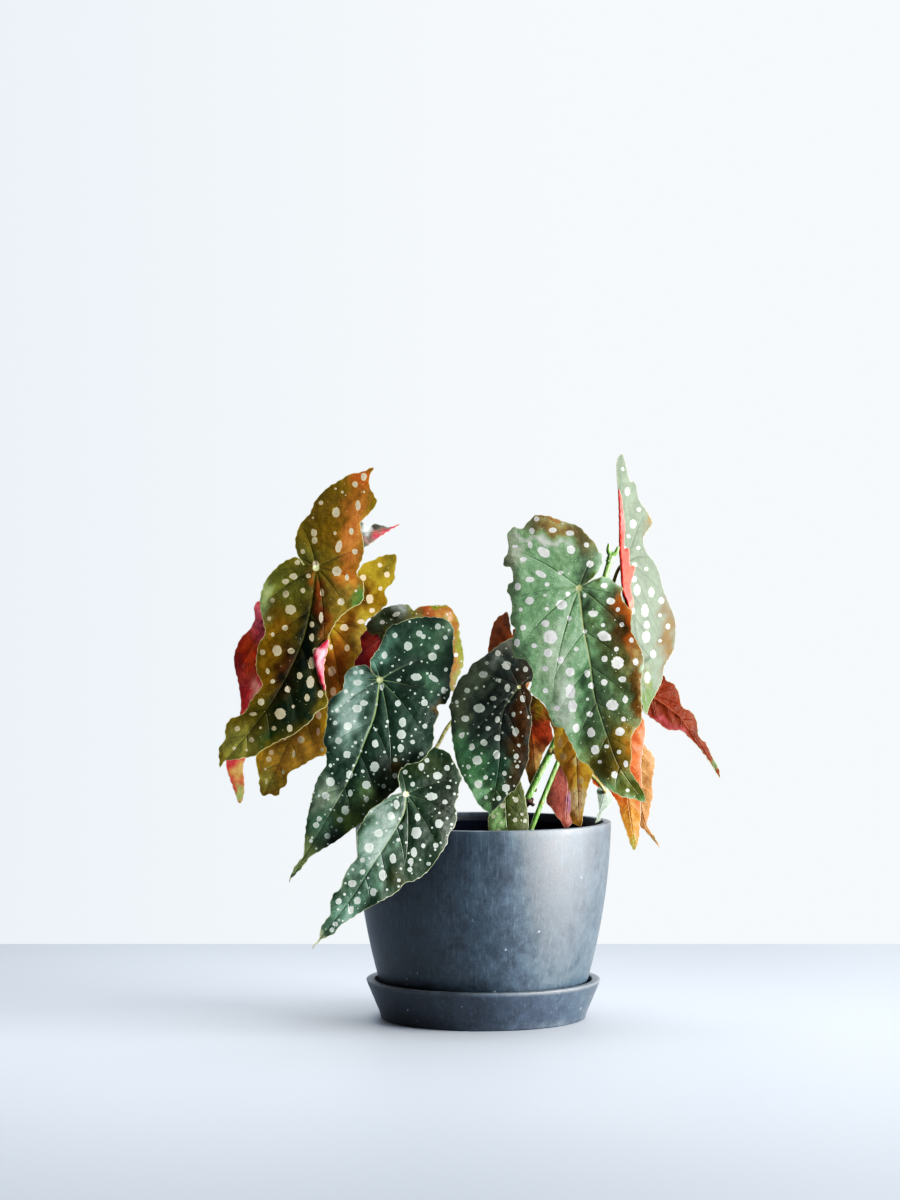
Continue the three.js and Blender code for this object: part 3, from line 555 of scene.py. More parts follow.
LEAVES["front_low"] = dict(
    heart=(406, 794), tip=(312, 949), rib="403,815 387,843 372,866 350,900",
    depths=(-84, -102), turn=0, bow=5, wings=6, cane="cane_middle", at=0.76,
    large=True, wave=2.0, fine=1.0, base="16301a", rib_tone="a3bd8c", silver="b6c0b7",
    via=[(420, 771, -66), (436, 748, -56), (450, 724, -40), (474, 703, -24)],
    outline="""401,792 399,784 398,776 401,769 409,764 418,762 425,757 429,751 434,747 441,749
        449,753 453,760 457,767 462,779 459,786 459,796 455,804 457,815 455,826 449,834 447,844 441,853
        433,865 425,874 414,881 405,883 399,890 391,896 385,899 374,905 363,911 351,919 340,926 334,934
        327,937 320,941 312,949 314,944 319,938 320,930 324,922 330,914 330,903 334,893 340,889 342,881
        347,870 354,861 357,858 357,847 357,832 360,826 366,816 370,810 379,804 387,798 394,794 399,793""",
    tones_and_painted_light="""378 838 15 42 30 88a292; 380 810 10 11 0 98b0a0; 404 815 10 18 0 0c2412;
        424 838 15 28 0 082410; 446 800 13 44 0 121f0c; 425 765 20 12 0 263418; 430 788 12 10 0 0a2010;
        372 881 12 12 0 50695a; 398 880 10 10 0 262e10; 345 912 25 15 -40 5c7868; 318 942 8 8 0 d4dcb8""",
    dots="""405.2,772.1,2.4 421.3,766.8,3,4 426.9,760.4,2.4 437.3,775.8,4.6,3.8 447,767.9,2.8
        448.3,787.1,2.4,1.8 431.6,796.5,5.8,3.8 445,802,2.8,2.2 438.9,823.7,3.8,4.4 417.7,817.3,2.8,4
        416.3,832.7,5,6 435.7,845.4,2.4,2.8 423.3,845.8,2.2 413.9,852.5,3.2,4.8 410.8,861.5,2.8,3.4
        409.9,869.5,2.4 392.9,858.8,3.2,5 382.8,875.2,4,5.4 373.3,892,3,4.2 352.3,883.5,4.4,3.6
        357.3,900.7,3.4,3.8 338.5,901.4,3 351,910.1,2.8,3.8 331.8,929.9,2.4 335.8,924.1,2.4
        362.4,860.1,2.4 362.4,871.9,2.6 369,847.8,4.8 378.8,833.3,4 390.9,815.9,3.6,4.2
        396.5,804.3,2.8,4.6 398.2,839.8,1.8 398.9,880.3,1.8""")
LEAVES["centre"] = dict(
    heart=(519, 687), tip=(491, 814), rib="509,701 503,712 500,738 499,765",
    depths=(-54, -62), turn=6, bow=6, wings=4, cane="cane_middle", at=0.9,
    large=True, wave=1.4, fine=1.0, base="343f3a", rib_tone="8aa06e", silver="c0c8bb", gloss=0.2,
    outline="""522,636 534,645 539,662 537,680 526,684 532,696 530,707 532,719 531,730 529,741
        529,753 528,762 524,771 520,781 517,787 514,791 507,796 503,802 497,807 491,814 486,811 478,804
        471,791 463,778 457,764 454,750 452,738 451,727 451,715 449,707 451,700 453,692 456,686 460,678
        468,672 471,665 480,659 491,651 500,644 507,640 512,638""",
    tones_and_painted_light="""478 678 16 18 20 6c7c64; 461 707 9 24 0 5e6a52; 461 745 9 16 0 608860;
        520 728 9 58 5 442800; 512 765 8 24 0 382a04; 475 775 20 28 0 4c7450; 498 770 12 20 0 2c4c38;
        505 642 16 12 0 70786a; 494 661 8 7 0 78847a; 478 790 9 9 0 80a480; 488 808 7 7 0 5c7c58;
        464 753 6 14 0 4c7456; 494 792 8 11 0 2c4020; 488 700 5 40 20 26362e""",
    dots="""506.6,665.5,4.4 497.9,653.1,3 483.3,674.5,4.6,3.4 486.7,663.1,2 498.2,680.1,3,1.6
        467.1,690.6,2.8 476,688.3,1.8 493.1,698.3,3.4,2.4 479.3,708.2,5.8,4.6 465.3,718.6,4.2,3.2
        487.8,728.3,2.4 461.4,735.5,2.8 483.9,742.7,3.4 513.5,714.5,2,2.8 515.5,731.9,3.4,4.6
        516.2,756.6,2.6,3 517.3,766.5,2 477.2,760.4,4.8 468.3,766.8,2.4 504.3,773.4,2.4 478.3,784.1,4
        485.6,777.6,2.4 505.8,788,4 485.9,797.5,2 518.8,745.4,1.8""")
LEAVES["rim_small"] = dict(
    heart=(505, 774), tip=(509, 853), rib="506,810",
    depths=(-50, -56), turn=8, bow=3, wings=4, cane="cane_middle", at=0.6,
    fine=1.0, base="343e04", silver="adad9a",
    outline="""504,766 513,763 521,782 524,791 526,802 528,814 528,830 520,842 509,853 498,843
        489,830 488,820 489,812 487,800 488,785 495,765""",
    tones_and_painted_light="495 815 8 25 0 8cb07c",
    dots="503,806,2.6 515,820,2.2 525,821,2 493.6,816.6,2 521.9,814.3,1.6 515.8,799.8,2.6")
print(len(LEAVES), "leaf patterns so far")

# %% Leaves at the right
LEAVES["right_large"] = dict(
    heart=(579, 588), tip=(644, 802), rib="583,625 590,662 594,694 602,721 610,744 620,768",
    depths=(-72, -92), turn=5, bow=8, wings=9, cane="cane_right", at=0.88,
    large=True, wave=1.8, fine=0.4, base="8cb48c", rib_tone="b9c98c", silver="dcdeda", relief=0.5,
    outline="""584,585 592,579 598,572 602,564 602,554 599,552 595,543 588,536 582,529 576,525
        569,523 560,520 549,516 538,515 535,515 531,519 525,525 522,529 515,527 511,529 507,535 508,543
        508,551 504,559 503,564 506,567 511,568 513,580 508,585 507,591 510,597 512,608 510,621 515,630
        512,641 513,654 517,659 524,659 530,666 533,674 530,690 532,694 544,704 547,710 552,722 555,727
        563,728 567,736 574,749 579,760 588,765 592,771 599,780 607,788 615,793 623,797 634,799 644,802
        645,796 641,787 633,775 630,768 632,755 631,740 635,730 641,723 642,710 642,701 641,684 643,670
        644,660 641,649 636,639 632,633 631,622 632,611 625,604 621,595 623,588 616,584 609,578 601,577
        592,580""",
    tones_and_painted_light="""512 552 10 22 0 b4c8ac; 548 527 24 8 10 8c7c50; 550 516 28 5 10 7c5428;
        570 532 30 6 10 7c6c40; 545 541 26 2.5 8 d8e4d4; 565 558 16 12 0 7c9c78;
        588 562 13 30 0 546852; 590 602 11 14 0 364832; 590 540 13 14 0 646040; 611 602 9 20 0 261e04;
        612 628 7 14 0 281c02; 588 625 7 12 0 5c7450; 606 650 15 44 0 3e4a2a; 553 665 15 42 0 b0d2ac;
        563 705 9 30 0 c0dcc0; 588 682 9 24 0 466848; 600 704 18 36 0 445840; 590 735 14 20 0 445838;
        612 742 9 36 0 4c4810; 629 628 9 42 0 a05400; 634 692 7 34 0 4c3802; 595 765 20 18 0 545214;
        607 766 10 16 0 3c3804; 630 752 8 22 0 b06c08; 637 792 9 9 0 3c4a04; 622 604 8 15 0 884c00;
        621 634 8 19 0 3e2c02; 621 660 9 18 0 4c4c22; 621 686 9 18 0 3c4622; 621 712 9 18 0 445636;
        622 738 9 18 0 6c5a08; 622 764 10 16 0 645404; 622 788 10 12 0 48500c; 638 640 4 16 0 7c4800;
        640 672 5 28 0 5c4008; 640 708 5 18 0 6c4804; 636 787 13 14 -30 484c00; 643 797 4 4 0 446408;
        596 580 7 10 0 3c4a1c""",
    dots="""543.8,552.2,7,4.4,35 570.9,549.8,4.2 586.4,545.1,2.5 552.5,530.3,4,2.6
        569.8,533.2,4.4,2.4 536.7,519.1,2.6 515.1,546.5,2.8,1.6 523.2,559.2,3.4,2.2
        540.8,574.1,6,2.8,25 529.7,579.5,4.6,2.6 560.8,572.8,2.6,1.8 589.9,564.1,3.5
        604.2,585.8,3.2,2.6 610.7,601.2,4.2,3.4 617.8,609.6,2.2 621.8,624.8,2.4 593.1,613.7,4.8,3.2
        567.9,594.1,2.4 561.7,604.7,5.6,5 569.3,618.3,2.4 529.7,600.7,4.2,3.7 520.8,609.6,2
        545.4,623.7,3.8,3.4 523,627.8,2.8 550.5,637.1,6.8 534,645.9,2.8,2.2 548.1,652.8,4.2
        576.3,649.2,2.2 604.2,636.2,7,4.8,20 616.4,649.2,2.4 617.5,662.9,6.2 545.4,668.7,2.8
        570,672,4.4 545.5,690.8,2.6 570.3,691.8,5.2,7 572.6,706.2,4.6,6.2 604.2,682.4,3.4,3
        622.5,679.5,4,2.8 612.5,705.2,6,5.4 623.5,719.2,2.2 620.1,731.7,4.8,4.2 591.1,732.6,4,4.8
        595.1,749.8,4,4.8 599.8,761.8,2 618.8,752.1,2.2 625.9,763.8,2.4,3.4 614.5,774.8,3.2,3.6
        627.6,790.4,1.8""")
LEAVES["right_tall"] = dict(
    heart=(627, 562), tip=(646, 714), rib="632,610 640,665",
    depths=(-8, -14), turn=58, bow=3, wings=3, cane="cane_right", at=0.84,
    large=True, wave=0.8, fine=0.2, base="5c6c54", rib_tone="5c6434", silver="a4aca0",
    outline="""622,454 626,466 628,476 630,481 635,483 639,500 646,510 652,523 648,530 643,539
        646,552 654,562 659,573 663,589 669,604 675,620 675,641 673,651 664,667 662,680 656,693 650,704
        646,714 641,700 636,670 628,630 622,591 620,562 619,549 620,529 619,502 618,489 617,479 617,461""",
    tones_and_painted_light="""651 522 6 14 0 705010; 668 640 8 46 0 583a00; 646 680 5 12 0 5c5c14;
        644 661 3 5 0 26381c; 648 700 8 22 0 3c5c18; 628 495 5 34 0 66765c""",
    dots="""626.9,491.8,2.5,4.5 638.4,509.6,2.2 632.7,524,3.4,4.6 628,536.3,2 637.9,548,2
        634,565,2.5 645.8,569,2 636.6,589.9,3.4,5.8 651,592.5,3,5 644.5,610.8,3.8,6.5 659.6,615.3,1.8
        645.8,637,4,6 652.8,654,3,4 647,677.5,3,6""")
LEAVES["right_outer"] = dict(
    heart=(652, 696), tip=(720, 778), rib="684,722",
    depths=(30, 52), turn=20, bow=4, wings=3, cane="cane_right_second", at=0.93,
    under=True, base="5c2204", gloss=0.08,
    outline="""663,675 667,681 673,683 679,693 682,706 692,712 697,722 699,736 706,743 712,756
        719,769 720,778 716,773 712,766 699,748 686,735 681,731 668,730 658,723 645,713 640,702 648,697
        640,688 650,676""",
    tones_and_painted_light="666 725 24 4 28 843a3e; 700 733 8 6 40 4c1c04; 716 764 4 12 0 405838")
LEAVES["right_hanging"] = dict(
    heart=(620, 712), tip=(635, 850), rib="624,770",
    depths=(4, 9), turn=14, bow=4, wings=5, cane="cane_right_second", at=0.78,
    under=True, base="b44c14",
    outline="""618,702 628,696 638,706 643,718 645,725 645,736 643,749 641,764 642,784 641,803
        641,811 640,824 639,838 635,850 631,846 626,831 621,817 618,804 612,797 602,790 593,783 590,770
        592,750 598,728 608,705""",
    tones_and_painted_light="628 822 14 22 0 b47428; 635 845 5 8 0 8c8438")
LEAVES["right_hanging_rear"] = dict(
    heart=(633, 748), tip=(660, 848), rib="640,800 646,826",
    depths=(26, 30), turn=-10, bow=3, wings=4, cane="cane_right_second", at=0.7,
    under=True, base="f0a06c",
    outline="""634,741 642,742 647,748 652,753 655,761 654,771 652,784 653,796 651,804 649,816
        647,823 649,829 655,837 660,848 653,840 646,832 641,827 636,822 628,805 622,785 622,760 628,742""",
    tones_and_painted_light="655 840 4 6 0 9c8458")
print(len(LEAVES), "leaf patterns so far")

# %% Small leaves over the pot
LEAVES["centre_top_rear"] = dict(
    heart=(514, 652), tip=(502, 712), rib="508,684",
    depths=(10, 14), turn=-20, bow=3, wings=4, cane="cane_middle", at=0.97,
    under=True, base="a8581c",
    outline="""489,643 490,637 493,625 497,618 503,614 508,613 512,635 514,629 526,630 534,645
        535,665 526,690 502,712 491,690 487,665""",
    tones_and_painted_light="508 625 8 10 0 6c3402")
LEAVES["low_right"] = dict(
    heart=(575, 712), tip=(579, 826), rib="577,770",
    depths=(-42, -36), turn=-14, bow=4, wings=5, cane="cane_right", at=0.66,
    fine=0.4, base="b49030", silver="aa9768",
    outline="""574,700 565,692 552,698 546,709 544,714 550,722 554,733 554,746 555,757 560,764
        563,772 567,779 568,787 570,792 571,808 570,816 574,824 579,826 582,825 583,815 586,799 588,788
        591,779 595,769 601,755 603,735 598,712 586,695""",
    tones_and_painted_light="558 745 7 30 0 c4b040; 578 800 10 14 0 dcc898; 568 775 5 16 0 b08828",
    dots="560.3,742.4,2.4,6 576.3,761.2,3.4,4.4 580.4,780.6,3.4,4 577.7,814.1,1.6")
LEAVES["low_salmon"] = dict(
    heart=(569, 770), tip=(565, 828), rib="567,800",
    depths=(14, 10), turn=12, bow=2, wings=3, cane="cane_right_second", at=0.52,
    under=True, base="c07468",
    outline="""567,764 562,761 558,768 554,776 550,787 546,801 552,809 556,816 562,823 563,827
        565,828 569,827 577,815 581,790 579,770 573,759""",
    tones_and_painted_light="573 800 6 22 0 8c5870; 560 800 5 20 0 c87468")
LEAVES["low_rear"] = dict(
    heart=(528, 712), tip=(536, 792), rib="533,752",
    depths=(34, 28), turn=-15, bow=3, wings=4, cane="cane_middle", at=0.66,
    under=True, base="a04420",
    outline="""525,704 532,696 539,700 546,708 550,722 553,736 551,742 545,750 541,761 538,776
        536,792 530,785 526,771 520,760 512,735 514,710 519,700""",
    tones_and_painted_light="""536 764 10 16 0 f4c080; 533 745 8 8 0 b87030; 531 716 8 8 0 4c1408;
        533 703 5 6 0 605018; 541 708 5 14 0 96821e; 540 735 6 8 0 cc5828""")
LEAVES["rim_right"] = dict(
    heart=(604, 792), tip=(595, 823), rib="600,806",
    depths=(-10, -6), turn=20, bow=1, wings=2, cane="cane_right_second", at=0.5,
    under=True, base="8c9c8c",
    outline="""603,787 606,787 613,796 614,800 607,808 602,812 600,820 595,823 599,811 598,800
        597,790 600,786""",
    tones_and_painted_light="")
print(len(LEAVES), "leaf patterns in all")

# %% [markdown]
# ## From pattern to blade
# One way would be a grid pulled to the outline, but begonia leaves are too lop-sided for
# it: the grid would shear in the lobes. Instead the pattern is cut like cloth. It is laid
# flat in the leaf's own plane, filled with evenly spread points, and joined into triangles
# by Delaunay's rule. Then the sheet is bent, its margin waved and its veins pressed in.

# %% The plane of a leaf
WING_SPAN = 0.35


class Plane:
    """The flat plane that a leaf's pattern is laid out in, in mm along and across."""

    def __init__(self, leaf):
        self.heart = at_depth(*leaf["heart"], leaf["depths"][0])
        tip = at_depth(*leaf["tip"], leaf["depths"][1])
        self.length = np.linalg.norm(tip - self.heart)
        self.along = (tip - self.heart) / self.length
        normal = EYE - self.heart
        normal = unit(normal - self.along * normal.dot(self.along))
        turn = math.radians(-leaf["turn"])
        self.normal = normal * math.cos(turn) + np.cross(self.along, normal) * math.sin(turn)
        self.across = np.cross(self.along, self.normal)
        self.bow = leaf["bow"]
        self.wings = leaf["wings"]

    def flatten(self, picture):
        """From picture points to the plane."""
        ray = sight(picture)
        reach = (self.heart - EYE).dot(self.normal) / (ray @ self.normal)
        point = EYE + ray * reach[..., None] - self.heart
        return np.stack([point @ self.along, point @ self.across], -1)

    def in_space(self, flat):
        return self.heart + flat[:, :1] * self.along + flat[:, 1:] * self.across

    def picture(self, flat):
        """From the plane to picture points."""
        ray = self.in_space(flat) - EYE
        ray = ray / ray[:, 1:2]
        return np.stack([MIDDLE[0] + LENS * ray[:, 0], MIDDLE[1] - LENS * ray[:, 2]], -1)

    def bend(self, flat, extra=0.0):
        """From the plane to the bent blade in space, moved by extra along the line of sight."""
        along, across = flat.T / self.length
        lift = self.bow * (1 - (2 * along - 1) ** 2) - self.wings * (across / WING_SPAN) ** 2 + extra
        point = self.in_space(flat)
        ray = point - EYE
        return point + ray * (lift / (ray @ self.normal))[:, None]


# %% Smooth lines
def run_of(line):
    """How far along a line each of its points is."""
    return np.concatenate([[0], np.cumsum(np.linalg.norm(np.diff(line, axis=0), axis=1))])


def evenly(line, count):
    """The same line with a number of points at even steps."""
    run = run_of(line)
    even = np.linspace(0, run[-1], count)
    return np.stack([np.interp(even, run, column) for column in line.T], -1)


def with_ends(points):
    """Points with one more beyond each end, straight on."""
    return np.vstack([2 * points[0] - points[1], points, 2 * points[-1] - points[-2]])


def smooth_line(points, step, closed=False):
    """A Catmull-Rom line through points, with its own points a step apart."""
    points = np.asarray(points, float)
    ring = np.vstack([points[-1:], points, points[:2]]) if closed else with_ends(points)
    t = np.linspace(0, 1, 12, endpoint=False)[:, None]
    pieces = []
    for a, b, c, d in zip(ring, ring[1:], ring[2:], ring[3:]):
        pieces.append(0.5 * (2 * b + (c - a) * t + (2 * a - 5 * b + 4 * c - d) * t ** 2
                             + (3 * b - a - 3 * c + d) * t ** 3))
    line = np.vstack(pieces + ([pieces[0][:1]] if closed else [points[-1:]]))
    line = evenly(line, max(3, round(run_of(line)[-1] / step)) + 1)
    return line[:-1] if closed else line


# %% Distances
def to_line(points, line):
    """Distance of points to a line, positive on its left, and how far along it they are."""
    start, step = line[:-1], np.diff(line, axis=0)
    length = np.linalg.norm(step, axis=1)
    share = ((points[:, None] - start) * step).sum(-1) / length ** 2
    share = np.clip(share, 0, 1)
    off = points[:, None] - start - share[..., None] * step
    distance = np.linalg.norm(off, axis=-1)
    best = distance.argmin(1)
    rows = np.arange(len(points))
    side = step[best, 0] * off[rows, best, 1] - step[best, 1] * off[rows, best, 0]
    run = run_of(line)
    along = (run[best] + share[rows, best] * length[best]) / run[-1]
    return np.where(side < 0, -1, 1) * distance[rows, best], along


def to_margin(points, outline):
    """Distance of points to a closed outline."""
    return np.abs(to_line(points, np.vstack([outline, outline[:1]]))[0])


def inside(points, outline):
    """Which points lie inside an outline: those with an odd count of crossings beside them."""
    a, b = outline, np.roll(outline, -1, 0)
    x, y = points[:, :1], points[:, 1:]
    crosses = (a[:, 1] > y) != (b[:, 1] > y)
    with np.errstate(divide="ignore", invalid="ignore"):
        at = a[:, 0] + (y - a[:, 1]) / (b[:, 1] - a[:, 1]) * (b[:, 0] - a[:, 0])
    return (crosses & (x < at)).sum(1) % 2 == 1


# %% [markdown]
# ## Veins
# Up to four main veins fan out of the heart on each side of the midrib, and the midrib sends
# out pairs of side veins. They are grown by rule: a vein starts at a set angle to the
# midrib, bows outwards and stops short of the margin.

# %% Veins of a leaf
FAN_ANGLES = (30, 62, 98, 138)
PAIR_PLACES = (0.2, 0.36, 0.52, 0.68, 0.82)
PAIR_ANGLE = 42
RIB_HALF = 0.66
FAN = dict(half=0.44, shortest=9, reach=0.86, bow=9)
PAIR = dict(half=0.3, shortest=7, reach=0.8, bow=8)
VEIN_POINTS = 14
TINY = 1e-9


def direction_at(angle):
    return np.array([math.cos(math.radians(angle)), math.sin(math.radians(angle))])


def reach_to(outline, origin, direction):
    """How far the margin is from a point in a direction."""
    a, step = outline, np.roll(outline, -1, 0) - outline
    cross = direction[0] * step[:, 1] - direction[1] * step[:, 0]
    cross = np.where(np.abs(cross) < TINY, TINY, cross)
    off = a - origin
    far = (off[:, 0] * step[:, 1] - off[:, 1] * step[:, 0]) / cross
    share = (off[:, 0] * direction[1] - off[:, 1] * direction[0]) / cross
    hits = far[(share >= 0) & (share <= 1) & (far > 0.5)]
    return hits.min() if len(hits) else 0.0


def bowed(origin, angle, far, bow):
    """A vein that leaves its origin at an angle a little wider than where it ends up."""
    end = origin + direction_at(angle) * far
    via = origin + direction_at(angle + bow) * far * 0.5
    t = np.linspace(0, 1, VEIN_POINTS)[:, None]
    return (1 - t) ** 2 * origin + 2 * t * (1 - t) * via + t ** 2 * end


def side_vein(origin, angle, side, outline, size, kind):
    """One vein of a kind, or none where the margin is too near."""
    far = reach_to(outline, origin, direction_at(angle))
    if far <= kind["shortest"]:
        return []
    return [(bowed(origin, angle, kind["reach"] * far, side * kind["bow"]), kind["half"] * size)]


def grow_veins(midrib, outline, size):
    """Lines of the veins with half their width at the root, in mm."""
    veins = [(midrib, RIB_HALF * size)]
    for side in (-1, 1):
        for angle in FAN_ANGLES:
            veins += side_vein(midrib[0], side * angle, side, outline, size, FAN)
        for place in PAIR_PLACES:
            k = int(place * (len(midrib) - 1))
            run = midrib[k + 1] - midrib[k]
            lean = math.degrees(math.atan2(run[1], run[0]))
            veins += side_vein(midrib[k], lean + side * PAIR_ANGLE, side, outline, size, PAIR)
    return veins


# %% [markdown]
# ## Dots and tones
# Drawn dots cover what was seen of a leaf. Where the pattern has none, behind another leaf
# or on a side that faces away, seeded random ones fill in at the same spacing.

# %% Dots of a leaf side
DOT_SPACING = 15
DOT_TRIES = 500
DOT_RADII = (1.4, 3.6)
DOT_STRETCH = (0.8, 1.45)
DOT_CLEAR = 2
NO_DOTS = np.zeros((0, 5))


def ellipses(text):
    """Ellipses written as "x,y,rx[,ry[,tilt]]" in picture points and degrees."""
    found = []
    for item in text.split():
        numbers = [float(v) for v in item.split(",")]
        if len(numbers) == 3:
            numbers.append(numbers[2])
        found.append(numbers + [0.0] * (5 - len(numbers)))
    return np.array(found).reshape(-1, 5)


def in_ellipse(points, ellipse):
    """Points in an ellipse's own measure, in which it is the unit circle."""
    off = points - ellipse[..., :2]
    tilt = np.radians(ellipse[..., 4])
    x = off[..., 0] * np.cos(tilt) + off[..., 1] * np.sin(tilt)
    y = off[..., 1] * np.cos(tilt) - off[..., 0] * np.sin(tilt)
    return np.stack([x / ellipse[..., 2], y / ellipse[..., 3]], -1)


def fill_dots(drawn, outline, seed):
    """Adds random dots inside an outline where no drawn one is near."""
    rng = np.random.default_rng(seed)
    tries = rng.uniform(outline.min(0), outline.max(0), (DOT_TRIES, 2))
    sizes = rng.uniform(*DOT_RADII, DOT_TRIES)
    stretch = rng.uniform(*DOT_STRETCH, DOT_TRIES)
    dots = [tuple(d) for d in drawn]
    for place, size, ratio in zip(tries[inside(tries, outline)], sizes, stretch):
        clear = to_margin(place[None], outline)[0]
        near = min((math.dist(place, d[:2]) for d in dots), default=math.inf)
        if clear > size + DOT_CLEAR and near > DOT_SPACING * rng.uniform(0.7, 1.1):
            dots.append((*place, size, size * ratio, 0.0))
    return np.array(dots).reshape(-1, 5)


# %% Tones of a leaf side
SWAY = 2.6
RIPPLE = 1.6


def uneven(x, y):
    """How far the edge of a tone strays at picture points."""
    across = SWAY * np.sin(y / 5.3 + np.sin(x / 3.9)) + RIPPLE * np.sin(y / 2.3 + x / 3.1)
    down = SWAY * np.sin(x / 4.7 + np.sin(y / 6.1)) + RIPPLE * np.sin(x / 2.1 - y / 3.7)
    return np.stack([across, down], -1)


def toned(points, base, patches):
    """Linear colours at picture points: a base with soft patches over it, their edges uneven. Besides a
    leaf's own colours, the patches paint sheen, shade and the glow of light coming through.
    """
    colours = np.tile(linear(base), (len(points), 1))
    points = points + uneven(*points.T)
    for item in patches.split(";"):
        if item.strip():
            place, colour = item.rsplit(" ", 1)
            patch = ellipses(",".join(place.split()))[0]
            square = (in_ellipse(points, patch) ** 2).sum(1)
            weight = np.exp(-0.9 * square ** 1.4)[:, None]
            colours += weight * (linear(colour) - colours)
    return colours


# %% [markdown]
# ## Cutting and bending the blade
# The blade is a closed thin shell: an upper and a lower skin from the same points, joined by
# a rim. Values that only change slowly (tone, distance to the margin) are kept on points.
# Dots and veins need crisp edges at any zoom, so each face knows its nearest dot and vein and
# its corners hold their place relative to it: the shader draws the line, not the mesh.

# %% Cut the flat sheet
MARGIN_STEP = 0.9
RIB_STEP = 1.4
TOOTH = 0.28
RING_IN = 0.8
MARGIN_CLEAR = 0.55
JITTER = 0.12
FULL_LENGTH = 140
FLAT_AREA = 1e-4


def toothed(outline, rng):
    """The outline with small uneven teeth, and the way out of it at each point."""
    ahead = np.roll(outline, -1, 0)
    out = ahead - np.roll(outline, 1, 0)
    out = np.stack([out[:, 1], -out[:, 0]], -1) / np.linalg.norm(out, axis=1)[:, None]
    area = np.sum(outline[:, 0] * ahead[:, 1] - outline[:, 1] * ahead[:, 0])
    out = out * np.sign(area)
    run = np.arange(len(outline)) * MARGIN_STEP
    teeth = np.sin(run / 0.83 + rng.uniform(0, 6)) * (0.6 + 0.4 * np.sin(run / 3.7 + rng.uniform(0, 6)))
    return outline + out * (TOOTH * teeth)[:, None], out


def filling(outline, out, midrib, spacing, rng):
    """Points inside an outline: a loose triangular grid, a row on the midrib, one by the margin."""
    low, high = outline.min(0), outline.max(0)
    row = spacing * math.sqrt(3) / 2
    grid = np.array([(x + (j % 2) * spacing / 2, low[1] + j * row)
                     for j in range(int((high[1] - low[1]) / row) + 1)
                     for x in np.arange(low[0], high[0], spacing)])
    grid += rng.uniform(-JITTER, JITTER, grid.shape) * spacing
    away = np.abs(to_line(grid, midrib)[0]) > 0.5 * spacing
    points = np.vstack([grid[away], smooth_line(midrib[::3], spacing), outline - out * RING_IN])
    points = points[inside(points, outline)]
    return points[to_margin(points, outline) > MARGIN_CLEAR]


def cut_sheet(leaf, spacing, seed):
    """Points, triangles, margin distance and veins of a leaf, flat in its own plane."""
    rng = np.random.default_rng(seed)
    plane = Plane(leaf)
    drawn = smooth_line(plane.flatten(traced(leaf["outline"])), MARGIN_STEP, closed=True)
    outline, out = toothed(drawn, rng)
    rib = plane.flatten(np.vstack([leaf["heart"], traced(leaf["rib"]), leaf["tip"]]))
    midrib = smooth_line(rib, RIB_STEP)
    veins = grow_veins(midrib, outline, (plane.length / FULL_LENGTH) ** 0.5)
    points = np.vstack([outline, filling(outline, out, midrib, spacing, rng)])
    edges = [(i, (i + 1) % len(outline)) for i in range(len(outline))]
    result = delaunay_2d_cdt([Vector(p) for p in points], edges, [], 1, 1e-4)
    points = np.array([tuple(p) for p in result[0]])
    faces = np.array([f for f in result[2] if len(f) == 3])
    corner = points[faces]
    area = np.cross(corner[:, 1] - corner[:, 0], corner[:, 2] - corner[:, 0])
    faces = np.where((area < 0)[:, None], faces[:, ::-1], faces)[np.abs(area) > FLAT_AREA]
    return plane, outline, points, faces, to_margin(points, outline), veins


# %% Nearest dot and nearest vein of each face
NO_DOT = (9.0, 9.0, 0.0)
NO_VEIN = (9.0, 0.2, 50.0)


def dot_corners(picture, faces, dots, fine):
    """For each corner, its place in the ellipse nearest to its face, and the share of fine dots."""
    place = np.full((*faces.shape, 2), NO_DOT[0])
    if len(dots):
        centre = picture[faces].mean(1)
        nearest = np.linalg.norm(in_ellipse(centre[:, None], dots[None]), axis=-1).argmin(1)
        place = in_ellipse(picture[faces], dots[nearest][:, None])
    return np.concatenate([place, np.full((*faces.shape, 1), fine)], -1).reshape(-1, 3)


def vein_measures(points, veins):
    """Signed distance and half width of every vein at every point."""
    distance, half = [], []
    for line, root in veins:
        off, along = to_line(points, line)
        distance.append(off)
        half.append(root * (0.12 + 0.88 * (1 - along) ** 0.8))
    return np.array(distance).T, np.array(half).T


def vein_corners(points, faces, distance, half, size):
    """For each corner, how far its nearest vein and the heart are, and how wide that vein is."""
    nearest = np.abs(distance[faces]).mean(1).argmin(1)[:, None]
    away = np.linalg.norm(points[faces], axis=-1) / size
    return np.stack([distance[faces, nearest], half[faces, nearest], away], -1).reshape(-1, 3)


# %% Relief and waves of a blade
GROOVE_WIDTH = 0.9
PILLOW_WIDTH = 3.6
WAVE_LENGTHS = (21, 27, 35)
WAVY_MARGIN = 16


def relief_of(distance, half):
    """How deep the veins press in, and how full the blade is between them, from 0 to 1."""
    near = np.abs(distance)
    groove = (np.exp(-(near / GROOVE_WIDTH) ** 2) * half / RIB_HALF).max(1)
    full = 1 - np.exp(-(near.min(1) / PILLOW_WIDTH) ** 2)
    return groove, full


def waves(points, margin, seed):
    """A slow swell that grows towards the margin, in mm."""
    rng = np.random.default_rng(seed)
    swell = np.zeros(len(points))
    for length in WAVE_LENGTHS:
        lean = direction_at(rng.uniform(0, 180))
        swell += np.sin(points @ lean * 2 * math.pi / length + rng.uniform(0, 6)) / 3
    return swell * np.clip(1 - margin / WAVY_MARGIN, 0, 1) ** 1.5


# %% Shells, and what a blade's mesh holds for its finish
UV_MM = 100


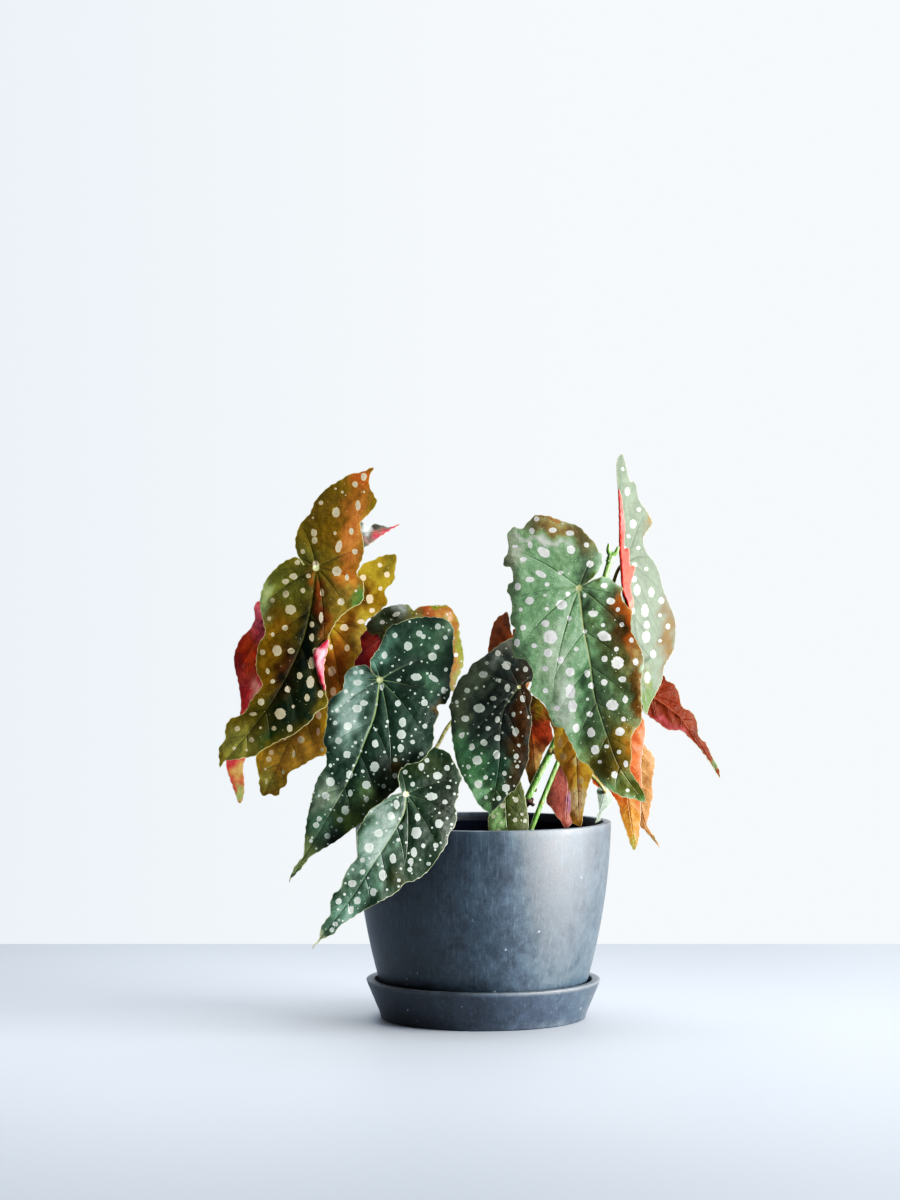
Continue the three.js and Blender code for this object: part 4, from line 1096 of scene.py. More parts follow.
def shell(name, front, back, faces, material):
    """A closed piece from a front and a back skin, in mm, which share the back's triangles."""
    count = len(front)
    edges = np.vstack([faces[:, [0, 1]], faces[:, [1, 2]], faces[:, [2, 0]]])
    key = edges.min(1) * count + edges.max(1)
    _, first, times = np.unique(key, return_index=True, return_counts=True)
    rim = edges[first[times == 1]]
    quads = np.stack([rim[:, 0], rim[:, 1], rim[:, 1] + count, rim[:, 0] + count], -1)
    skins = faces[:, ::-1].tolist() + (faces + count).tolist() + quads.tolist()
    return new_piece(name, np.vstack([front, back]) * MM, skins, material)


def store(mesh, name, kind, domain, values):
    attribute = mesh.attributes.new(name, kind, domain)
    field = {"FLOAT": "value", "FLOAT_VECTOR": "vector", "FLOAT_COLOR": "color"}[kind]
    attribute.data.foreach_set(field, np.asarray(values, np.float32).ravel())


def mark_blade(mesh, dots, veins, tones_and_painted_light, margin, points):
    """Stores all that the leaf finish reads. Corners of the rim have no dot and no vein."""
    for name, marks, none in (("dot", dots, NO_DOT), ("vein", veins, NO_VEIN)):
        plain = np.tile(none, (len(mesh.loops) - len(marks), 1))
        store(mesh, name, "FLOAT_VECTOR", "CORNER", np.vstack([marks, plain]))
    for name, tone in zip(("tone", "rib_tone", "dot_tone"), tones_and_painted_light):
        store(mesh, name, "FLOAT_COLOR", "POINT", np.hstack([tone, np.ones((len(tone), 1))]))
    store(mesh, "edge", "FLOAT", "POINT", np.tile(margin, 2))
    layout = mesh.uv_layers.new(name="flat")
    loops = np.zeros(len(mesh.loops), np.int32)
    mesh.loops.foreach_get("vertex_index", loops)
    layout.data.foreach_set("uv", (points[loops % len(points)] / UV_MM).astype(np.float32).ravel())


# %% Tones of both sides of a blade
UNDER_SIDE = "7a1f26"
UPPER_SIDE = "33503a"
UPPER_RIB = "a8b878"
UNDER_RIB = "b06a58"
LIT_UNDER_RIB = "c07050"
DOT_SILVER = "dcded4"
LUMINANCE = (0.2126, 0.7152, 0.0722)
DULLEST_DOT = 0.75
GLINT = 1.5


def side_tones(leaf, picture, front):
    """Tone and vein tone of one side of a leaf."""
    under = leaf.get("under", False)
    if front:
        tone = toned(picture, leaf["base"], leaf["tones_and_painted_light"])
        rib = leaf.get("rib_tone", LIT_UNDER_RIB if under else UPPER_RIB)
    else:
        tone = np.tile(linear(UPPER_SIDE if under else UNDER_SIDE), (len(picture), 1))
        rib = UPPER_RIB if under else UNDER_RIB
    return tone, np.tile(linear(rib), (len(picture), 1))


def blade_tones(leaf, picture):
    """Tones, vein tones and dot tones of the front skin and then the back. Dots on a lighter
    tone are lighter, so they carry the painted sheen of the tone."""
    sides = [side_tones(leaf, picture, front) for front in (True, False)]
    tone, rib = (np.vstack(parts) for parts in zip(*sides))
    # Painted sheen on the dots: they are lighter where the tone is lighter.
    glint = DULLEST_DOT + GLINT * tone @ LUMINANCE
    silver = np.clip(linear(leaf.get("silver", DOT_SILVER)) * glint[:, None], 0, 1)
    return tone, rib, silver


# %% Build a blade
THICKNESS = 0.62
RIM_THICKNESS = 0.34
GROOVE = 0.55
PILLOW = 0.8
RIDGE = 1.0
LARGE_SPACING = 1.25
SMALL_SPACING = 1.5
THIN_MARGIN = 2.5
PLAIN_MARGIN = 3
USUAL_LENGTH = 150
USUAL_WAVE = 1.6
USUAL_FINE = 0.6
CREASE = math.radians(55)
BLADE_SEED = 100
WAVE_SEED = 50


def build_blade(name, leaf, seed):
    """Cuts, bends, spots and veins one blade, and lets it stand for its node."""
    spacing = LARGE_SPACING if leaf.get("large", False) else SMALL_SPACING
    plane, outline, points, faces, margin, veins = cut_sheet(leaf, spacing, seed)
    picture = plane.picture(points)
    distance, half = vein_measures(points, veins)
    groove, full = relief_of(distance, half)
    up = -1 if leaf.get("under", False) else 1
    size = plane.length / USUAL_LENGTH
    swell = leaf.get("wave", USUAL_WAVE) * min(size, 1) * waves(points, margin, seed + WAVE_SEED)
    depth = leaf.get("relief", 1.0)
    middle = plane.bend(points, swell + up * depth * (PILLOW * size * full - GROOVE * groove))
    thick = RIM_THICKNESS + (THICKNESS - RIM_THICKNESS) * np.clip(margin / THIN_MARGIN, 0, 1)
    ridge = RIDGE * groove * np.clip(margin / PLAIN_MARGIN, 0, 1)
    front = middle + plane.normal * (thick / 2 + (ridge if up < 0 else 0))[:, None]
    back = middle - plane.normal * (thick / 2 + (ridge if up > 0 else 0))[:, None]
    piece = shell(f"blade_{name}", front, back, faces, blade_finishes[leaf.get("gloss", BLADE_SPECULAR)])

    drawn = ellipses(leaf.get("dots", "")) if up > 0 else NO_DOTS
    spotted = (fill_dots(drawn, plane.picture(outline), seed), leaf.get("fine", USUAL_FINE))
    skins = (faces[:, ::-1], faces)
    sides = (spotted, (NO_DOTS, 0))[::up]
    dots = np.vstack([dot_corners(picture, skin, *side) for skin, side in zip(skins, sides)])
    knob = min(1, size ** 0.7)
    lines = np.vstack([vein_corners(points, skin, distance, half, knob) for skin in skins])
    mark_blade(piece.data, dots, lines, blade_tones(leaf, picture), margin, points)
    piece.data.set_sharp_from_angle(angle=CREASE)
    stand_for(piece, f"leaf_{name}")
    return piece


total = 0
for number, (name, leaf) in enumerate(LEAVES.items()):
    total += triangles(build_blade(name, leaf, BLADE_SEED + number))
print(len(LEAVES), "blades,", total, "triangles")

# %% [markdown]
# ## Rolled margins
# Two leaves have rolled a piece of their margin forward, so that the red underside shows in
# front. Each is a strip cut in the plane of its leaf and lifted off it, highest in its middle.

# %% Rolled margins
FOLD_SPACING = 0.9
FOLD_FOOT = 1.0
FOLD_LIFT = 1.6
FOLD_HALF = 0.17
FOLD_SOFT = 2.2
FOLD_SEED = 200
FOLDS = {
    "roll_left_top": dict(leaf="left_top", base="d8405c", outline="""329,639 327.5,651 324.5,663
        324,676 326,689.5 322.5,689 319,680.5 316,668 313.6,659 314,651.5 320,645.5""",
        tones_and_painted_light="318 657 4 14 0 f8b0bc; 326 650 3 12 0 b81c34; 323 684 5 9 0 780c14"),
    "roll_right_tall": dict(leaf="right_tall", base="bc3428", outline="""618.3,489 618.6,508
        619,528 619,549 620,562 621,577 622,591 626,601 630,611 634,604 632,595 630.5,586 633.5,574
        635,566 630,564.5 629,549 624,547 625,528 623,510 621.5,497""",
        tones_and_painted_light="620 510 3 24 0 e0605a; 630 580 4 20 0 b83c28; 632 604 4 6 0 e8785c"),
}


def build_fold(name, fold, seed):
    """A strip of underside that lies on the front of its leaf, without dots and veins."""
    leaf = dict(LEAVES[fold["leaf"]], outline=fold["outline"])
    plane, _, points, faces, margin, _ = cut_sheet(leaf, FOLD_SPACING, seed)
    middle = plane.bend(points, FOLD_FOOT + FOLD_LIFT * np.clip(margin / FOLD_SOFT, 0, 1) ** 0.5)
    half = plane.normal * FOLD_HALF
    piece = shell(name, middle + half, middle - half, faces, blade_material)
    tone = np.tile(toned(plane.picture(points), fold["base"], fold["tones_and_painted_light"]), (2, 1))
    none = np.zeros((0, 3))
    mark_blade(piece.data, none, none, (tone, tone, tone), margin, points)
    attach(piece, "root")
    return piece


for number, (name, fold) in enumerate(FOLDS.items()):
    print(name, triangles(build_fold(name, fold, FOLD_SEED + number)), "triangles")

# %% [markdown]
# ## Canes and stalks
# Canes are jointed like bamboo: each joint is a slight ring. They are swept along the same
# routes as in the frame. Geometry Nodes suit this: the radius is a formula of the distance
# along the curve, and one tree makes the thick canes and the thin stalks alike.

# %% Routes of the canes
CANES = {
    "cane_left": dict(radius=2.4, route=[(437, 900, -8), (440, 850, -8), (425, 760, -8),
                                         (405, 690, -8), (375, 620, -3), (340, 557, 4)]),
    "cane_middle": dict(radius=2.2, route=[(497, 900, -4), (495, 850, -5), (490, 760, -10),
                                           (495, 690, -12), (503, 655, -13)]),
    "cane_right": dict(radius=2.3, route=[(500, 900, -22), (508, 850, -24), (528.8, 796, -24),
                                          (551.6, 749, -22), (578, 690, -18), (594, 630, -18),
                                          (603, 585, -18), (611, 556, -18)]),
    "cane_right_second": dict(radius=1.7, route=[(520, 900, -8), (524, 850, -8), (532, 827.5, -8),
                                                 (557.6, 763, -6), (580, 715, -2), (600, 665, 6),
                                                 (606, 620, 12)]),
}


def centripetal(points, steps=24):
    """A centripetal Catmull-Rom line through points in space, with a point for each mm."""
    points = np.asarray(points, float)
    ring = with_ends(points)
    line = []
    for a, b, c, d in zip(ring, ring[1:], ring[2:], ring[3:]):
        t0 = 0.0
        t1 = t0 + np.linalg.norm(b - a) ** 0.5
        t2 = t1 + np.linalg.norm(c - b) ** 0.5
        t3 = t2 + np.linalg.norm(d - c) ** 0.5
        for t in np.linspace(t1, t2, steps, endpoint=False):
            ab = (t1 - t) / (t1 - t0) * a + (t - t0) / (t1 - t0) * b
            bc = (t2 - t) / (t2 - t1) * b + (t - t1) / (t2 - t1) * c
            cd = (t3 - t) / (t3 - t2) * c + (t - t2) / (t3 - t2) * d
            abc = (t2 - t) / (t2 - t0) * ab + (t - t0) / (t2 - t0) * bc
            bcd = (t3 - t) / (t3 - t1) * bc + (t - t1) / (t3 - t1) * cd
            line.append((t2 - t) / (t2 - t1) * abc + (t - t1) / (t2 - t1) * bcd)
    line.append(points[-1])
    line = np.array(line)
    return evenly(line, int(run_of(line)[-1]) + 2)


def cane_line(name):
    return centripetal([at_depth(*p) for p in CANES[name]["route"]])


# %% Helpers for Geometry Nodes trees
def new_tree(name, numbers, whole_number):
    """A tree with named inputs, and the sockets that hand them over."""
    group = bpy.data.node_groups.new(name, "GeometryNodeTree")
    face = group.interface
    face.new_socket("Geometry", in_out="OUTPUT", socket_type="NodeSocketGeometry")
    face.new_socket("Geometry", in_out="INPUT", socket_type="NodeSocketGeometry")
    for label in numbers:
        face.new_socket(label, in_out="INPUT", socket_type="NodeSocketFloat")
    face.new_socket(whole_number, in_out="INPUT", socket_type="NodeSocketInt")
    face.new_socket("Material", in_out="INPUT", socket_type="NodeSocketMaterial")
    return group, put(group, "NodeGroupInput").outputs


def end_tree(group, geometry, material):
    """Makes copies real, sets the material and hands the mesh out."""
    real = put(group, "GeometryNodeRealizeInstances", {"Geometry": geometry})
    worn = put(group, "GeometryNodeSetMaterial", {"Geometry": real.outputs[0], "Material": material})
    put(group, "NodeGroupOutput", {0: worn.outputs[0]})
    return group


def run_tree(source, group, settings, name):
    """Runs a tree on an object and returns the result as a plain mesh piece."""
    modifier = source.modifiers.new("tree", "NODES")
    modifier.node_group = group
    for item in group.interface.items_tree:
        if item.in_out == "INPUT" and item.name in settings:
            modifier[item.identifier] = settings[item.name]
    bpy.context.view_layer.update()
    ready = source.evaluated_get(bpy.context.evaluated_depsgraph_get())
    mesh = bpy.data.meshes.new_from_object(ready)
    source.modifiers.remove(modifier)
    bpy.data.objects.remove(source)
    mesh.name = name
    return placed(name, mesh)


# %% The sweep as a Geometry Nodes tree
JOINT_REACH = 0.0028
NO_JOINTS = 9.0


def stem_tree():
    """Sweeps a round section along a curve, tapering, with a raised ring at each joint."""
    group, given = new_tree("stem_sweep", (
        "Root radius", "End radius", "Joint spacing", "Joint swelling", "Step"), "Sides")
    curve = put(group, "GeometryNodeResampleCurve", {"Curve": given["Geometry"], "Length": given["Step"]},
                mode="LENGTH").outputs[0]
    place = put(group, "GeometryNodeSplineParameter").outputs
    taper = put(group, "ShaderNodeMapRange", {"Value": place["Factor"], "To Min": given["Root radius"],
                                              "To Max": given["End radius"]}).outputs[0]
    turn = maths(group, "DIVIDE", place["Length"], given["Joint spacing"])
    off = maths(group, "ABSOLUTE", maths(group, "SUBTRACT", maths(group, "FRACT", turn), 0.5))
    away = maths(group, "MULTIPLY", off, given["Joint spacing"])
    ring = ramp(group, away, 0.0, JOINT_REACH, given["Joint swelling"], 0.0)
    radius = maths(group, "MULTIPLY", taper, maths(group, "ADD", ring, 1.0))
    for name, value in (("along", place["Factor"]), ("joint", away)):
        curve = put(group, "GeometryNodeStoreNamedAttribute", {
            "Geometry": curve, "Name": name, "Value": value}, data_type="FLOAT", domain="POINT").outputs[0]
    section = put(group, "GeometryNodeCurvePrimitiveCircle", {"Resolution": given["Sides"], "Radius": 1.0})
    swept = put(group, "GeometryNodeCurveToMesh", {
        "Curve": curve, "Profile Curve": section.outputs[0], "Scale": radius, "Fill Caps": True})
    smooth = put(group, "GeometryNodeSetShadeSmooth", {"Geometry": swept.outputs[0]})
    return end_tree(group, smooth.outputs[0], given["Material"])


STEM = stem_tree()


def sweep(name, line, root, end, material, sides=12, spacing=NO_JOINTS, swelling=0.0, step=0.0012):
    """A stem along a line in mm, from its root radius to its end radius."""
    curve = bpy.data.curves.new(name, "CURVE")
    curve.dimensions = "3D"
    spline = curve.splines.new("POLY")
    spline.points.add(len(line) - 1)
    spline.points.foreach_set("co", np.hstack([line * MM, np.ones((len(line), 1))]).ravel())
    return run_tree(placed(f"{name}_line", curve), STEM, {
        "Root radius": root * MM, "End radius": end * MM, "Joint spacing": spacing,
        "Joint swelling": swelling, "Step": step, "Sides": sides, "Material": material}, name)


# %% Finish of canes and stalks
def stem_material(name, root, end, fleck, roughness):
    """Green skin that changes from root to end, with fine streaks and small pale flecks."""
    material, tree = new_material(name)
    coords = own_place(tree)
    long_ways = put(tree, "ShaderNodeMapping", {"Vector": coords, "Scale": (1.0, 1.0, 0.12)})
    streaks = noise(tree, long_ways.outputs[0], 900.0, 3.0)
    patches = noise(tree, coords, 90.0, 3.0)
    flecks = put(tree, "ShaderNodeTexVoronoi", {"Vector": coords, "Scale": 380.0}).outputs["Distance"]
    colour = layered(tree, blend(tree, stored(tree, "along"), shade(root), shade(end)), [
        (ramp(tree, streaks, 0.4, 0.7, 0.0, 0.4), "bccf98"),
        (ramp(tree, patches, 0.55, 0.75, 0.0, 0.35), "6d6a35"),
        (ramp(tree, flecks, 0.22, 0.12, 0.0, 0.7), fleck),
        (ramp(tree, stored(tree, "joint"), 0.0014, 0.0002, 0.0, 0.55), "8a6a3c")])
    finish_opaque(tree, {
        "Base Color": colour, "Roughness": roughness, "Subsurface Weight": 0.12,
        "Subsurface Radius": (0.002, 0.003, 0.001), "Normal": bump(tree, streaks, 0.25, 0.0002)})
    return material


cane_material = stem_material("cane_green", "477a2e", "5a8a3c", "e4ecd4", 0.34)
stalk_material = stem_material("stalk_green", "66762c", "80662c", "c8c89a", 0.45)

# %% Canes
JOINT_SPACING = 0.042
JOINT_SWELLING = 0.13
FOOT_SHARE = 1.02
END_SHARE = 0.82
CANE_SIDES = 20

for name, cane in CANES.items():
    piece = sweep(f"stem_{name}", cane_line(name), cane["radius"] * FOOT_SHARE,
                  cane["radius"] * END_SHARE, cane_material, CANE_SIDES, JOINT_SPACING, JOINT_SWELLING)
    stand_for(piece, name)
    print(name, triangles(piece), "triangles")

# %% Sheaths: two short green ones, left at the right cane's end where its tip was pinched out
SHEATHS = ((-3.4, 8.0), (2.8, 6.0))
SHEATH_ROOT = 2.6
SHEATH_END = 0.9

top, below = cane_line("cane_right")[-1], cane_line("cane_right")[-5]
upward = unit(top - below)
for number, (side, rise) in enumerate(SHEATHS):
    tip = top + upward * rise + np.array([side, -1.0, 0.0])
    middle = (top + tip) / 2 + np.array([side * 0.3, 0, -0.6])
    piece = sweep(f"sheath_{number}", centripetal([below, top, middle, tip]), SHEATH_ROOT, SHEATH_END,
                  cane_material, step=0.0006)
    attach(piece, "root")
print(len(SHEATHS), "sheaths")

# %% [markdown]
# ## Stalks
# A leaf stalk leaves its cane sideways, rises, and curls in under the heart of its blade. A
# cubic Bezier does that with two handles: one along the way out of the cane, one straight
# down from the blade's underside. The stalk of the lowest leaf shows in front of the others,
# so it passes points of its own.

# %% Stalks
STALK_ROOT = 1.45
STALK_END = 1.05
STALK_RADIUS = 1.2
BLADE_THICK = 1.2
TOUCH_GAP = 0.3
HANDLE = 0.35
RISE = 0.1
INTO_CANE = 0.6
STALK_POINTS = 60
HEART_SPOTS = ((0, 0), (2, 0), (-2, 0), (0, 2), (0, -2))


def stalk_line(leaf):
    """The route of a stalk in mm, from its cane to the heart of its blade."""
    plane = Plane(leaf)
    heart, right, left, low, high = plane.bend(plane.flatten(np.add(leaf["heart"], HEART_SPOTS)))
    facing = unit(np.cross(right - left, low - high))
    facing = facing * np.sign(facing.dot(plane.normal)) * (1 if leaf.get("under") else -1)
    end = heart + facing * (BLADE_THICK / 2 + 2 * TOUCH_GAP)
    line = cane_line(leaf["cane"])
    run = run_of(line)
    k = min(int(np.searchsorted(run, leaf["at"] * run[-1])), len(line) - 2)
    joint, up = line[k], unit(line[k + 1] - line[k])
    out = end - joint
    out = unit(out - up * out.dot(up))
    start = joint + out * CANES[leaf["cane"]]["radius"] * INTO_CANE
    touch = end - facing * 2 * TOUCH_GAP
    if "via" in leaf:
        behind = end + facing * 4 * STALK_RADIUS
        return centripetal([touch, behind, *(at_depth(*p) for p in leaf["via"]), start])[::-1]
    reach = np.linalg.norm(end - start)
    handles = [start, start + out * reach * HANDLE + up * reach * RISE, touch + facing * reach * HANDLE,
               touch]
    t = np.linspace(0, 1, STALK_POINTS)[:, None]
    weights = [(1 - t) ** 3, 3 * t * (1 - t) ** 2, 3 * t ** 2 * (1 - t), t ** 3]
    return sum(w * h for w, h in zip(weights, handles))


for name, leaf in LEAVES.items():
    piece = sweep(f"petiole_{name}", stalk_line(leaf), STALK_ROOT, STALK_END, stalk_material)
    stand_for(piece, f"stalk_{name}")
print(len(LEAVES), "stalks")

# %% [markdown]
# ## Pot and saucer
# Both are pressed from ground stone and recycled plastic: matt, slate blue-grey, cloudy, with
# faint vertical drag marks and pale chips. A patchy painted highlight lightens the rims, painted
# shade darkens the inner sides, and the saucer's darker tones are painted shade too. Each is a
# turned shape, so a profile is spun round the axis, with a true arc at each rim.

# %% Turned shapes
RIM_ROUND = 0.7
TURNED_CREASE = math.radians(50)


def arc(centre, radius, start, stop, steps=5):
    """Points of an arc in a profile, between two angles in degrees."""
    angles = np.radians(np.linspace(start, stop, steps))
    return [(centre[0] + radius * math.cos(a), centre[1] + radius * math.sin(a)) for a in angles]


def rounded_rim(outer, inner, top):
    """The top of a wall, from its outer side over to its inner side."""
    low = top - RIM_ROUND
    return [*arc((outer - RIM_ROUND, low), RIM_ROUND, 0, 90),
            *arc((inner + RIM_ROUND, low), RIM_ROUND, 90, 180)]


def turned(name, profile, material, sides=144):
    """A profile of (radius, height) in mm spun round the axis. One that starts and ends on
    the axis is closed by its poles, any other is a closed ring."""
    on_axis = profile[0][0] == 0
    vertices, rings = [], []
    for radius, height in profile:
        if radius == 0:
            rings.append([len(vertices)] * sides)
            vertices.append((0, 0, height * MM))
            continue
        rings.append(list(range(len(vertices), len(vertices) + sides)))
        for i in range(sides):
            angle = 2 * math.pi * i / sides
            vertices.append((radius * math.cos(angle) * MM, radius * math.sin(angle) * MM, height * MM))
    faces = []
    pairs = list(zip(rings, rings[1:])) + ([] if on_axis else [(rings[-1], rings[0])])
    for low, high in pairs:
        for i in range(sides):
            j = (i + 1) % sides
            loop = [low[i], low[j], high[j], high[i]]
            faces.append(tuple(dict.fromkeys(loop)))
    piece = new_piece(name, vertices, faces, material)
    piece.data.set_sharp_from_angle(angle=TURNED_CREASE)
    return piece


# %% Composite finish
def composite(name, dark, light, haze, streak, specular):
    """Stone-filled plastic: clouds, faint drag marks, grit, a few ragged chips, a painted highlight on the
    rims, painted shade on the inner sides.
    """
    material, tree = new_material(name)
    coords = own_place(tree)
    clouds = noise(tree, coords, 80.0, 9.0, 0.78, 0.15)
    broad = noise(tree, coords, 14.0, 4.0, 0.6)
    upright = put(tree, "ShaderNodeMapping", {"Vector": coords, "Scale": (1.0, 1.0, 0.05)})
    drag = noise(tree, upright.outputs[0], 700.0, 4.0, 0.65)
    grit = noise(tree, coords, 1100.0, 3.0, 0.7)
    chips = put(tree, "ShaderNodeTexVoronoi", {"Vector": coords, "Scale": 150.0})
    pick = put(tree, "ShaderNodeSeparateColor", {0: chips.outputs["Color"]}).outputs[0]
    ragged = maths(tree, "ADD", chips.outputs["Distance"], ramp(tree, grit, 0.3, 0.7, -0.09, 0.09))
    chip = maths(tree, "MULTIPLY", ramp(tree, ragged, 0.13, 0.07), ramp(tree, pick, 0.84, 0.95))
    # Painted highlight along the rims, patchy like wear.
    worn = maths(tree, "MULTIPLY", stored(tree, "rim_highlight"), ramp(tree, clouds, 0.3, 0.6, 0.15, 0.6))
    # The last two layers paint light: the rim highlight, and shade on the inner sides.
    colour = layered(tree, blend(tree, ramp(tree, clouds, 0.3, 0.7), shade(dark), shade(light)), [
        (ramp(tree, broad, 0.38, 0.62, 0.0, 0.3), haze),
        (ramp(tree, drag, 0.5, 0.76, 0.0, 0.2), streak),
        (ramp(tree, drag, 0.46, 0.28, 0.0, 0.1), dark),
        (ramp(tree, grit, 0.58, 0.72, 0.0, 0.35), "141b22"),
        (ramp(tree, grit, 0.4, 0.28, 0.0, 0.25), streak),
        (maths(tree, "MULTIPLY", chip, 0.6), "a4adb6"),
        (worn, "747c82"),
        (maths(tree, "MULTIPLY", stored(tree, "damp"), 0.95), "0a1022")])
    height = maths(tree, "ADD", maths(tree, "MULTIPLY", drag, 0.18), maths(tree, "MULTIPLY", grit, 0.6))
    height = maths(tree, "ADD", height, maths(tree, "MULTIPLY", clouds, 1.2))
    finish_opaque(tree, {
        "Base Color": colour, "Roughness": ramp(tree, clouds, 0.3, 0.7, 0.44, 0.58),
        "Specular IOR Level": specular, "Normal": bump(tree, height, 0.35, 0.0004)})
    return material


pot_material = composite("slate_composite", "0b1a26", "334450", "1c2d3a", "6e7c88", 0.7)
# The saucer's copy has darker tones, which are painted shade.
saucer_material = composite("slate_composite_shaded", "0a1622", "263646", "162431", "6c7883", 0.85)

# %% Painted highlight on the rims, and painted shade on the inner sides
INNER_SPECULAR = 0.06
FLAT_TOP = 2.4
SKIN = 2


def mark_rim_highlight_and_inner_shade(piece, rim, top, reach, outer):
    """Marks how near each point is to the rim, where a highlight is painted, and the inner side, where
    shade is painted and the finish shines less.
    """
    heights = np.array([v.co.z for v in piece.data.vertices]) / MM
    radii = np.array([math.hypot(v.co.x, v.co.y) for v in piece.data.vertices]) / MM
    away = np.hypot(heights - top, np.maximum(0, np.abs(radii - rim) - FLAT_TOP))
    store(piece.data, "rim_highlight", "FLOAT", "POINT", np.clip(1 - away / reach, 0, 1))
    below_rim = top - RIM_ROUND - 0.1
    damp = [h < below_rim and r < outer(h) - SKIN for r, h in zip(radii, heights)]
    store(piece.data, "damp", "FLOAT", "POINT", np.array(damp, float))
    piece.data.materials.append(with_specular(piece.data.materials[0], INNER_SPECULAR))
    for face in piece.data.polygons:
        face.material_index = int(all(damp[corner] for corner in face.vertices))


# %% Pot
RIM_RADIUS = 80
RIM_HEIGHT = 122.3
POT_WALL = 4.8
POT_FLOOR = 6
POT_CORNER = 9
POT_FOOT = 5.3
POT_LEAN = 0.02
POT_SWELL = 0.0013
CORNER_DEPTH = 6
DRAIN_RADIUS = 9
POT_RIM_HIGHLIGHT = 0.8


def pot_radius(height):
    """The pot's outer radius: a wall that swells a little, and a rounded corner at its foot."""
    below = RIM_HEIGHT - height
    corner = max(0, POT_FOOT + POT_CORNER - height) / POT_CORNER
    return RIM_RADIUS - POT_LEAN * below - POT_SWELL * below ** 2 - CORNER_DEPTH * corner ** 2


outer_heights = np.concatenate([np.linspace(POT_FOOT, POT_FOOT + POT_CORNER, 7),
                                np.linspace(POT_FOOT + POT_CORNER + 4, RIM_HEIGHT - RIM_ROUND, 26)])
inner_heights = np.linspace(RIM_HEIGHT - RIM_ROUND, POT_FOOT + POT_FLOOR, 24)
profile = [(pot_radius(h), h) for h in outer_heights[:-1]]
profile += rounded_rim(RIM_RADIUS, RIM_RADIUS - POT_WALL, RIM_HEIGHT)
profile += [(pot_radius(h) - POT_WALL, h) for h in inner_heights[1:]]
profile += [(DRAIN_RADIUS, POT_FOOT + POT_FLOOR), (DRAIN_RADIUS, POT_FOOT)]
pot = turned("pot_body", profile, pot_material)
mark_rim_highlight_and_inner_shade(pot, RIM_RADIUS - POT_WALL / 2, RIM_HEIGHT, POT_RIM_HIGHLIGHT, pot_radius)
stand_for(pot, "pot")
print("pot", triangles(pot), "triangles")

# %% Saucer
SAUCER_RIM_RADIUS = 73.2
SAUCER_BASE_RADIUS = 64.2
SAUCER_HEIGHT = 24.2
SAUCER_WALL = 5.5
SAUCER_FLOOR = 5
SAUCER_EDGE = 1
SAUCER_COVE = 1.2
MIDDLE_RING = 30
SAUCER_RIM_HIGHLIGHT = 1.4

flare = SAUCER_RIM_RADIUS - SAUCER_BASE_RADIUS
inner_rim = SAUCER_RIM_RADIUS - SAUCER_WALL
inner_base = SAUCER_BASE_RADIUS - SAUCER_WALL + 1.5
inner_height = SAUCER_HEIGHT - (SAUCER_FLOOR + SAUCER_EDGE)


def saucer_radius(height):
    return SAUCER_BASE_RADIUS + flare * height / SAUCER_HEIGHT


base = SAUCER_BASE_RADIUS - SAUCER_EDGE
profile = [(0, 0), (MIDDLE_RING, 0), (base, 0)]
profile += arc((base, SAUCER_EDGE), SAUCER_EDGE, -60, -10, 4)
profile += [(SAUCER_BASE_RADIUS + flare * t, 2 * SAUCER_EDGE + (SAUCER_HEIGHT - 3 * SAUCER_EDGE) * t)
            for t in np.linspace(0.05, 0.92, 8)]
profile += rounded_rim(SAUCER_RIM_RADIUS, inner_rim, SAUCER_HEIGHT)
profile += [(inner_base + (inner_rim - inner_base) * t, SAUCER_FLOOR + inner_height * t)
            for t in (0.75, 0.5, 0.25, 0.06)]
profile += [(inner_base - SAUCER_COVE, SAUCER_FLOOR), (MIDDLE_RING, SAUCER_FLOOR), (0, SAUCER_FLOOR)]
saucer = turned("saucer_body", profile, saucer_material)
mark_rim_highlight_and_inner_shade(saucer, SAUCER_RIM_RADIUS - SAUCER_WALL / 2, SAUCER_HEIGHT, SAUCER_RIM_HIGHLIGHT, saucer_radius)
stand_for(saucer, "saucer")
print("saucer", triangles(saucer), "triangles")

# %% [markdown]
# ## Soil
# Potting mix: crumbly and nearly black, with bark and a little white perlite. The body of soil
# is a turned shape whose top is roughened; the loose crumbs are scattered over it by a
# Geometry Nodes tree, because hundreds of them lie at random.

# %% Finish of soil, crumbs and dry scales
def ground_material(name, dark, light, scale, roughness):
    """Lumps of two tones with fine grains, on a rough relief of both."""
    material, tree = new_material(name)
    coords = own_place(tree)
    lumps = noise(tree, coords, scale, 5.0, 0.65)
    grains = noise(tree, coords, scale * 7, 3.0)
    lumpy = blend(tree, ramp(tree, lumps, 0.3, 0.7), shade(dark), shade(light))
    finish_opaque(tree, {
        "Base Color": layered(tree, lumpy, [(ramp(tree, grains, 0.55, 0.75, 0.0, 0.5), light)]),
        "Roughness": roughness,
        "Normal": bump(tree, lumps, 0.6, 0.002, bump(tree, grains, 0.8, 0.0008))})
    return material


soil_material = ground_material("potting_soil", "120d0a", "34271d", 130.0, 0.95)
bark_material = ground_material("bark_crumbs", "2a1b12", "6b4b33", 260.0, 0.9)
perlite_material = ground_material("perlite", "b9b6ad", "e6e3da", 300.0, 0.85)

# %% Soil body
SOIL_EDGE = 101
SOIL_CROWN = 104
SOIL_GAP = 0.4
CLODS = 0.45

